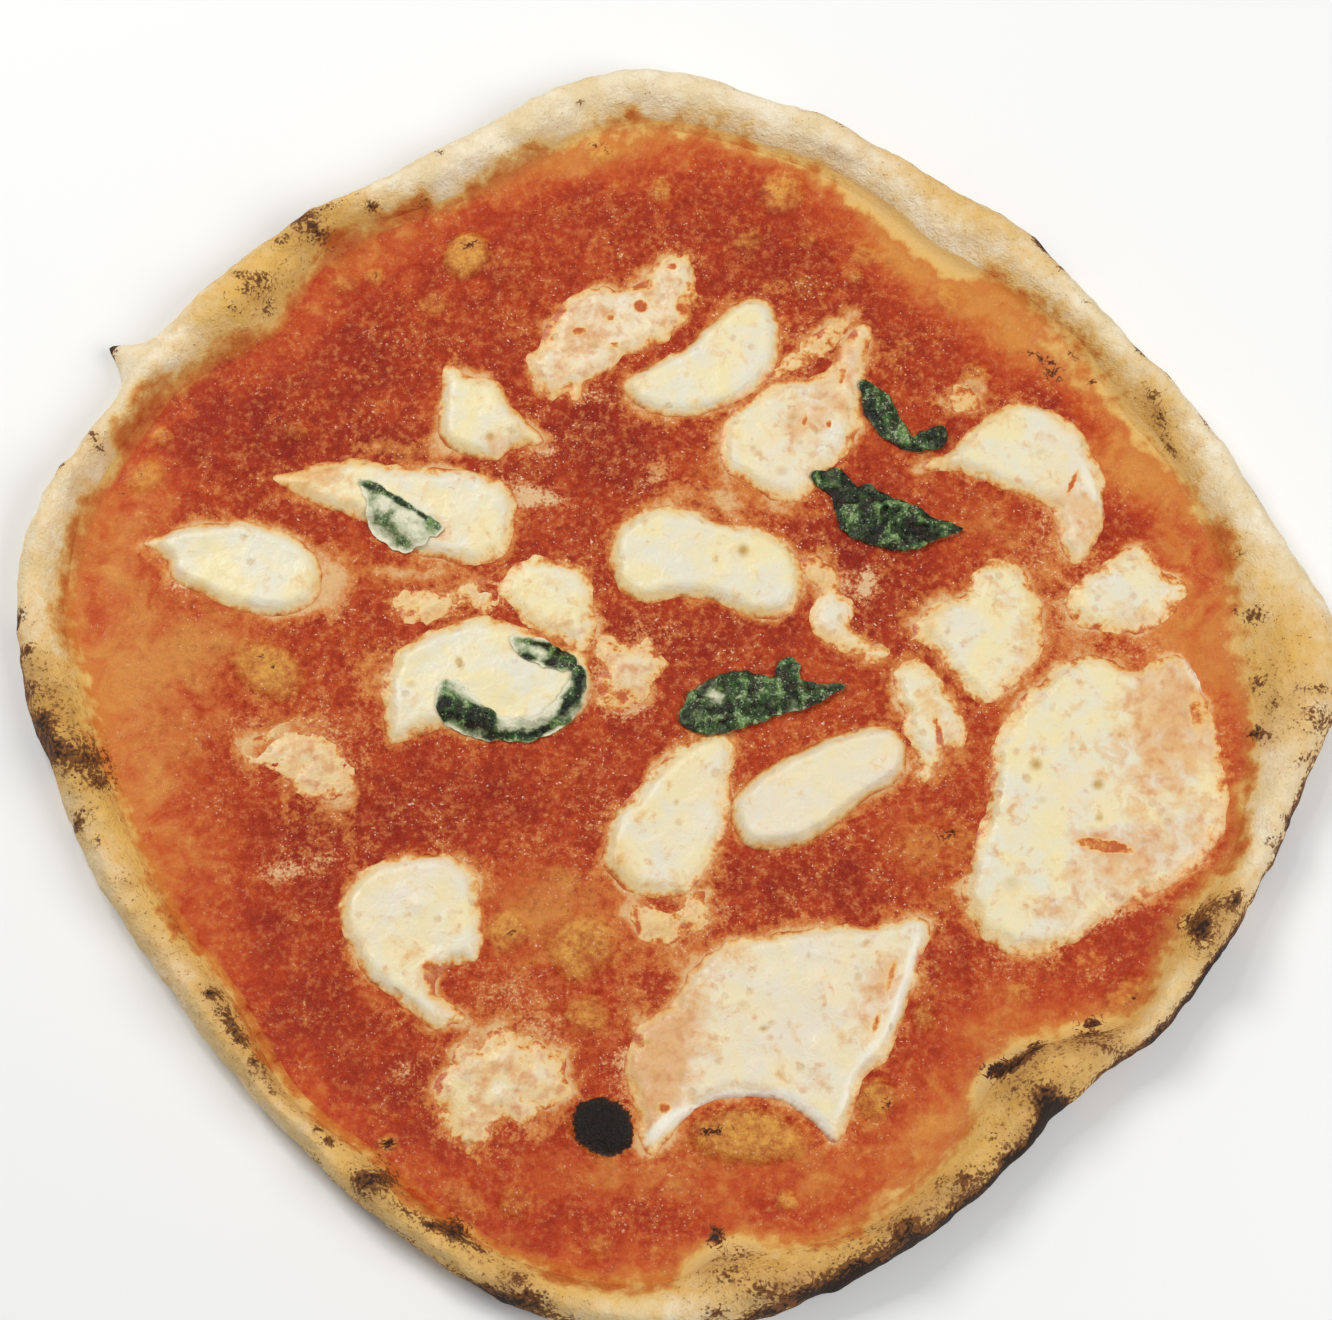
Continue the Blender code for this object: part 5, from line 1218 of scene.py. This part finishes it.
def crust_material():
    """Wheat dough baked on a stone: floury where pale, leathery gold where toasted, black where burnt."""
    material, tree, shader = blank_material("wood_fired_dough", Specular_IOR_Level=0.3)
    place = add(tree, "TexCoord", {}, out="Object")
    names = ("toast", "burnt", "soak", "gold")
    toast, burnt, soak, gold = (
        add(tree, "Attribute", {}, out="Fac", attribute_name=name) for name in names)
    # Mottling about 14 mm, smudges 7 mm, blisters 4 mm and grain 1 mm across
    broad = add(tree, "TexNoise", {"Vector": place, "Scale": 70.0, "Detail": 3.0})
    smudge = add(tree, "TexNoise", {"Vector": place, "Scale": 150.0, "Detail": 5.0, "Roughness": 0.66})
    blister = add(tree, "TexNoise", {"Vector": place, "Scale": 260.0, "Detail": 4.0, "Roughness": 0.6})
    grain = add(tree, "TexNoise", {"Vector": place, "Scale": 900.0, "Detail": 4.0, "Roughness": 0.65})

    yellow = add(tree, "Math", {0: blister, 1: 1.0, 2: -0.5}, operation="MULTIPLY_ADD")
    yellow = add(tree, "Math", {0: gold, 1: yellow}, operation="ADD")
    heat = add(tree, "Math", {0: broad, 1: 0.8, 2: -0.4}, operation="MULTIPLY_ADD")
    heat = add(tree, "Math", {0: blister, 1: 0.8, 2: heat}, operation="MULTIPLY_ADD")
    heat = add(tree, "Math", {0: toast, 1: heat}, operation="ADD")
    # Smears of pale flour, then the yellow of the crumb, smudges, and gold and brown as the heat grows
    colour = layered(tree, linear("#EAD3A6"), (
        (broad, 0.38, 0.62, 1.0, "#F8EED4"),
        (yellow, 0.1, 0.85, 1.0, "#E8B95C"),
        (smudge, 0.5, 0.74, 0.32, "#C9A976"),
        (heat, 0.45, 1.25, 0.75, "#DDAC5A"),
        (heat, 1.25, 2.0, 0.6, "#99622E")))
    colour = stained(tree, place, soak, colour, linear("#B9501F"))

    freckle = add(tree, "Math", {0: heat, 1: 0.13, 2: grain}, operation="MULTIPLY_ADD")
    dot = add(tree, "TexVoronoi", {"Vector": place, "Scale": 780.0}, out="Distance")
    near = add(tree, "Math", {0: burnt, 1: 0.62, 2: -0.12}, operation="MULTIPLY_ADD")
    near = add(tree, "Math", {0: blister, 1: 0.5, 2: near}, operation="MULTIPLY_ADD")
    dot = add(tree, "Math", {0: near, 1: dot}, operation="SUBTRACT")
    char = cracked(tree, place, burnt, grain)
    # Brown freckles where the heat caught the skin, dots of burst blisters a millimetre across, and char
    colour = layered(tree, colour, (
        (freckle, 0.75, 0.84, 0.8, "#7A4A22"),
        (dot, 0.02, 0.14, 0.85, "#56301A"),
        (char, 0.40, 0.72, 0.92, "#7C4A22"),
        (char, 0.78, 1.25, 0.95, "#221812")))

    rough_skin = add(tree, "MapRange", {"Value": soak, "To Min": 0.8, "To Max": 0.45})
    height = add(tree, "Math", {0: grain, 1: 0.4, 2: blister}, operation="MULTIPLY_ADD")
    height = add(tree, "Math", {0: char, 1: 0.3, 2: height}, operation="MULTIPLY_ADD")
    surfaced(tree, shader, colour, rough_skin, height, strength=0.6, distance=0.001)
    return material


def sauce_material():
    """Crushed tomato, baked: red pulp in clear juice, orange where thin, with moist glints from its wet shine
    and painted glints as pale specks.
    """
    material, tree, shader = blank_material("baked_tomato_pulp")
    place = add(tree, "TexCoord", {}, out="Object")
    names = ("thin", "milk", "fat", "bare", "burnt", "soak", "grainy")
    thin, milk, fat, bare, burnt, soak, grainy = (
        add(tree, "Attribute", {}, out="Fac", attribute_name=name) for name in names)
    # Swirls about 10 mm, clumps 7 mm, pulp 2 mm and beads of juice under a millimetre across
    wisp = add(tree, "TexNoise", {
        "Vector": place, "Scale": 95.0, "Detail": 7.0, "Roughness": 0.62, "Distortion": 1.4})
    clump = add(tree, "TexNoise", {"Vector": place, "Scale": 150.0, "Detail": 5.0, "Roughness": 0.62})
    pulp = add(tree, "TexNoise", {"Vector": place, "Scale": 560.0, "Detail": 5.0, "Roughness": 0.7})
    speck = add(tree, "TexNoise", {"Vector": place, "Scale": 1300.0, "Detail": 3.0, "Roughness": 0.6})

    body = add(tree, "Math", {0: clump, 1: 0.8, 2: -1.5}, operation="MULTIPLY_ADD")
    body = add(tree, "Math", {0: wisp, 1: 2.3, 2: body}, operation="MULTIPLY_ADD")
    body = add(tree, "Math", {0: thin, 1: body}, operation="ADD")
    # Dark red where the sauce is thick; along the rim's foot this darkening is partly painted shade
    colour = layered(tree, linear("#901D06"), (
        (body, -0.8, 0.2, 1.0, "#B63C10"),
        (body, 0.12, 0.7, 0.85, "#C65C22"),
        (body, 0.6, 1.35, 0.9, "#D28A3E")))
    # Pulp shows as lighter and darker flecks, strongest out in the middle
    for low, high, most, tint in ((0.50, 0.68, 0.62, "#D27445"), (0.48, 0.32, 0.55, "#7C1606")):
        fleck = add(tree, "MapRange", {"Value": pulp, "From Min": low, "From Max": high, "To Max": most})
        fleck = add(tree, "Math", {0: fleck, 1: grainy}, operation="MULTIPLY")
        colour = add(tree, "Mix", {0: fleck, 6: colour, 7: linear(tint)}, out=2, data_type="RGBA")

    # Curdled milk, then the fat that rings the cheese
    coarse = add(tree, "Math", {0: pulp, 1: 1.6, 2: -0.8}, operation="MULTIPLY_ADD")
    clotted = add(tree, "Math", {0: clump, 1: 1.5, 2: -0.75}, operation="MULTIPLY_ADD")
    clots = add(tree, "Math", {0: coarse, 1: clotted}, operation="ADD")
    curd = add(tree, "Math", {0: speck, 1: 2.4, 2: -1.2}, operation="MULTIPLY_ADD")
    curd = add(tree, "Math", {0: curd, 1: clots}, operation="ADD")
    curd = add(tree, "Math", {0: milk, 1: curd}, operation="ADD")
    ring = add(tree, "Math", {0: fat, 1: clots}, operation="ADD")
    colour = layered(tree, colour, (
        (curd, 0.62, 0.95, 0.7, "#D5844E"),
        (curd, 0.98, 1.35, 0.85, "#E9C696"),
        (ring, 0.35, 0.85, 0.85, "#D6803C"),
        (ring, 0.85, 1.35, 0.9, "#E6BD86")))

    # The skin of the bubbles, where the sauce has run off it
    ripe = add(tree, "Math", {0: wisp, 1: pulp}, operation="ADD")
    skin = layered(tree, linear("#BA682A"), ((ripe, 0.82, 1.16, 1.0, "#E2A349"),))
    shown = add(tree, "Math", {0: coarse, 1: 0.5, 2: bare}, operation="MULTIPLY_ADD")
    shown = add(tree, "Math", {0: clotted, 1: 0.35, 2: shown}, operation="MULTIPLY_ADD")
    colour = layered(tree, colour, ((shown, 0.0, 0.7, 0.95, skin),))
    colour = stained(tree, place, soak, linear("#DDB473"), colour)
    # Painted highlights: sparse pale specks about two thirds of a millimetre across, strongest where the pulp
    # is grainy, stand in for glints on beads of juice
    painted_glint_speck = add(tree, "TexNoise", {"Vector": place, "Scale": 1500.0, "Detail": 1.0})
    painted_glint_speck = add(tree, "Math", {0: clump, 1: 0.35, 2: painted_glint_speck}, operation="MULTIPLY_ADD")
    painted_glint_speck = add(tree, "MapRange", {"Value": painted_glint_speck, "From Min": 0.87, "From Max": 0.94, "To Max": 0.75})
    painted_glint_speck = add(tree, "Math", {0: painted_glint_speck, 1: grainy}, operation="MULTIPLY")
    colour = add(tree, "Mix", {0: painted_glint_speck, 6: colour, 7: linear("#F2CDB0")}, out=2, data_type="RGBA")
    char = cracked(tree, place, burnt, speck)
    colour = layered(tree, colour, ((char, 0.48, 0.75, 1.0, "#743A18"), (char, 0.85, 1.2, 1.0, "#130E0B")))

    # Beads of juice glint and the pulp between them is dull; char is dull too, and crackled
    wet = add(tree, "MapRange", {
        "Value": speck, "From Min": 0.50, "From Max": 0.58, "To Min": 0.5, "To Max": 0.12})
    shine = add(tree, "MapRange", {
        "Value": char, "From Min": 0.85, "From Max": 1.2, "To Min": 0.2, "To Max": 0.5})
    tree.links.new(shine, shader.inputs["Specular IOR Level"])
    crackle = add(tree, "MapRange", {"Value": char, "From Min": 0.85, "From Max": 1.2, "To Max": 3.0})
    height = add(tree, "Math", {0: speck, 1: 0.6, 2: pulp}, operation="MULTIPLY_ADD")
    height = add(tree, "Math", {0: crackle, 1: pulp, 2: height}, operation="MULTIPLY_ADD")
    strength = add(tree, "MapRange", {"Value": grainy, "To Min": 0.25, "To Max": 0.8})
    surfaced(tree, shader, colour, wet, height, strength, distance=0.0008)
    return material


def cheese_material():
    """Cow's-milk mozzarella, melted: smooth cream curd, thinner and orange at its edge, with a wet skin."""
    material, tree, shader = blank_material(
        "melted_mozzarella", Specular_IOR_Level=0.4, Subsurface_Weight=0.1, Subsurface_Scale=0.0015)
    place = add(tree, "TexCoord", {}, out="Object")
    names = ("inside", "ragged", "melted", "pink", "fleck", "butter", "wash", "lip")
    inside, ragged, melted, pink, fleck, butter, wash, lip = (
        add(tree, "Attribute", {}, out="Fac", attribute_name=name) for name in names)
    # Tone about 9 mm, patches 5 mm, holes 3 mm and curd 1 mm across
    broad = add(tree, "TexNoise", {"Vector": place, "Scale": 110.0, "Detail": 4.0, "Distortion": 0.5})
    patch = add(tree, "TexNoise", {
        "Vector": place, "Scale": 210.0, "Detail": 5.0, "Roughness": 0.62, "Distortion": 0.4})
    hole = add(tree, "TexNoise", {"Vector": place, "Scale": 340.0, "Detail": 4.0, "Roughness": 0.55})
    curd = add(tree, "TexNoise", {"Vector": place, "Scale": 800.0, "Detail": 4.0, "Roughness": 0.6})

    drift = add(tree, "Math", {0: patch, 1: 2.2, 2: -1.1}, operation="MULTIPLY_ADD")
    butter = add(tree, "Math", {0: butter, 1: drift}, operation="ADD")
    wash = add(tree, "Math", {0: wash, 1: drift}, operation="ADD")
    sunk = add(tree, "Math", {0: patch, 1: 2.2, 2: -1.5}, operation="MULTIPLY_ADD")
    sunk = add(tree, "Math", {0: melted, 1: sunk}, operation="ADD")
    sunk = add(tree, "Math", {0: curd, 1: 0.8, 2: sunk}, operation="MULTIPLY_ADD")
    seen = add(tree, "Math", {0: hole, 1: 2.4, 2: -1.2}, operation="MULTIPLY_ADD")
    seen = add(tree, "Math", {0: sunk, 1: 0.75, 2: seen}, operation="MULTIPLY_ADD")
    # Cream of two tones, pink and butter stains, then sauce that shows through where the curd is thin
    colour = layered(tree, linear("#E5DFC8"), (
        (broad, 0.38, 0.62, 1.0, "#EEDFAE"),
        (pink, 0.05, 0.9, 1.0, "#EAD8C0"),
        (butter, 0.15, 1.1, 0.85, "#E9BE6C"),
        (wash, 0.25, 1.2, 0.8, "#D8955C"),
        (sunk, 0.25, 1.1, 0.7, "#E7C489"),
        (seen, 0.42, 1.3, 0.8, "#CC7A46")))

    # The border thins out: cream, then fat-stained gold, then the orange of the sauce
    edge = add(tree, "Math", {0: patch, 1: 3.6, 2: -2.6}, operation="MULTIPLY_ADD")
    edge = add(tree, "Math", {0: curd, 1: 1.6, 2: edge}, operation="MULTIPLY_ADD")
    edge = add(tree, "Math", {0: edge, 1: ragged, 2: inside}, operation="MULTIPLY_ADD")
    # Small pits in the curd, about one every 8 mm and a millimetre wide
    pit = add(tree, "TexVoronoi", {"Vector": place, "Scale": 125.0}, out="Distance")
    pit = add(tree, "Math", {0: patch, 1: 0.35, 2: pit}, operation="MULTIPLY_ADD")
    colour = layered(tree, colour, (
        (edge, 1.15, 0.3, 0.85, "#EBC683"),
        (edge, 0.5, 0.02, 1.0, "#DD9646"),
        (edge, 0.16, -0.25, 0.9, "#BC5528"),
        # The drawn-up lip: whiter skin, and partly a painted sheen on the raised edge
        (lip, 0.2, 0.8, 0.85, "#F1ECDC"),
        (fleck, 0.1, 0.65, 0.85, "#BC9140"),
        (pit, 0.33, 0.24, 0.5, "#D3A878")))

    wet = add(tree, "MapRange", {
        "Value": patch, "From Min": 0.3, "From Max": 0.7, "To Min": 0.24, "To Max": 0.46})
    dent = add(tree, "MapRange", {"Value": pit, "From Min": 0.33, "From Max": 0.24, "To Max": -0.4})
    height = add(tree, "Math", {0: curd, 1: 0.25, 2: patch}, operation="MULTIPLY_ADD")
    height = add(tree, "Math", {0: dent, 1: height}, operation="ADD")
    surfaced(tree, shader, colour, wet, height, strength=0.5, distance=0.0011)
    return material


def basil_material():
    """Basil, wilted in the oven: dark limp leaf, oily, painted lighter on the crests of its folds and darker
    in its hollows, with painted glints, and milky where cheese ran over.
    """
    material, tree, shader = blank_material("wilted_basil_leaf", Specular_IOR_Level=0.26)
    place = add(tree, "TexCoord", {}, out="Object")
    fold, veil, margin = (
        add(tree, "Attribute", {}, out="Fac", attribute_name=name) for name in ("fold", "veil", "margin"))
    # Blotches about 4 mm and veins 1 mm across, and painted glints of oil: pale specks about half a
    # millimetre wide on the crests
    blotch = add(tree, "TexNoise", {"Vector": place, "Scale": 260.0, "Detail": 4.0, "Roughness": 0.6})
    fine = add(tree, "TexNoise", {"Vector": place, "Scale": 1100.0, "Detail": 4.0})
    painted_leaf_glint = add(tree, "TexNoise", {"Vector": place, "Scale": 1600.0, "Detail": 1.0})
    painted_leaf_glint = add(tree, "Math", {0: fold, 1: 0.18, 2: painted_leaf_glint}, operation="MULTIPLY_ADD")
    crest = add(tree, "Math", {0: fine, 1: 1.4, 2: -0.7}, operation="MULTIPLY_ADD")
    crest = add(tree, "Math", {0: fold, 1: crest}, operation="ADD")
    # Milk lies in the hollows and leaves the crests green
    cover = add(tree, "Math", {0: blotch, 1: 1.4, 2: -0.7}, operation="MULTIPLY_ADD")
    cover = add(tree, "Math", {0: veil, 1: cover}, operation="ADD")
    cover = add(tree, "Math", {0: margin, 1: veil, 2: cover}, operation="MULTIPLY_ADD")
    cover = add(tree, "Math", {0: crest, 1: -0.35, 2: cover}, operation="MULTIPLY_ADD")
    # Painted light and shade: nearly black in the hollows and lighter green up the crests of the folds, then
    # brown blotches, painted pale glints and the milk
    colour = layered(tree, linear("#0E1206"), (
        (crest, 0.05, 0.6, 1.0, "#345023"),
        (crest, 0.6, 1.15, 0.85, "#86A45E"),
        (blotch, 0.49, 0.38, 0.85, "#2A2018"),
        (painted_leaf_glint, 0.70, 0.80, 0.6, "#B9C2A4"),
        (cover, 0.1, 0.6, 0.85, "#8C9C6C"),
        (cover, 0.34, 0.95, 0.97, "#E5E0C4")))

    oiled = add(tree, "MapRange", {
        "Value": fine, "From Min": 0.42, "From Max": 0.56, "To Min": 0.16, "To Max": 0.6})
    height = add(tree, "Math", {0: fine, 1: 0.4, 2: blotch}, operation="MULTIPLY_ADD")
    surfaced(tree, shader, colour, oiled, height, strength=0.9, distance=0.0011)
    return material


def make_table_top():
    """A plain pale table top just under the pizza."""
    deselect()
    bpy.ops.mesh.primitive_plane_add(size=TABLE_SIZE, location=(0, 0, -TABLE_GAP))
    table = bpy.context.object
    table.name = "table_top"
    card, _, shader = blank_material("matt_white_card", Roughness=0.9)
    shader.inputs["Base Color"].default_value = linear("#F4F4F2")
    table.data.materials.append(card)


def aim(thing, place, target):
    """Puts a lamp or the camera in the scene, turned to look at a target."""
    thing.location = place
    thing.rotation_mode = "QUATERNION"
    thing.rotation_quaternion = (target - Vector(place)).to_track_quat("-Z", "Y")
    bpy.context.scene.collection.objects.link(thing)


def make_light():
    """A dim white world and soft lamps, the strongest from the upper left and the lower right."""
    world = bpy.data.worlds.new("studio")
    world.use_nodes = True
    background = world.node_tree.nodes["Background"]
    background.inputs["Color"].default_value = linear("#FFFFFF")
    background.inputs["Strength"].default_value = WORLD_STRENGTH
    bpy.context.scene.world = world
    for name, place, size, power in LAMPS:
        lamp = bpy.data.lights.new(name, "AREA")
        lamp.shape, lamp.size, lamp.energy = "DISK", size, power
        aim(bpy.data.objects.new(name, lamp), place, Vector((0, 0, 0)))


def make_camera():
    """The camera, which looks down on the pizza a little from the front."""
    lens = bpy.data.cameras.new("camera")
    lens.lens, lens.sensor_width, lens.sensor_fit = FOCAL_LENGTH, SENSOR_WIDTH, "AUTO"
    lens.clip_start, lens.clip_end = 0.05, 10.0
    camera = bpy.data.objects.new("camera", lens)
    target = Vector(CAMERA_TARGET)
    back = Vector((0, -math.sin(CAMERA_TILT), math.cos(CAMERA_TILT)))
    aim(camera, target + CAMERA_DISTANCE * back, target)
    bpy.context.scene.camera = camera
    bpy.context.scene.view_settings.view_transform = "Standard"


make_table_top()
make_light()
make_camera()
make_crust(crust_material())
make_sauce(sauce_material())
melted_cheese = cheese_material()
for cheese_row in MOZZARELLA:
    make_cheese(cheese_row, melted_cheese)
leaf_finish = basil_material()
for leaf_row in BASIL:
    make_leaf(leaf_row, leaf_finish)

bpy.context.view_layer.update()
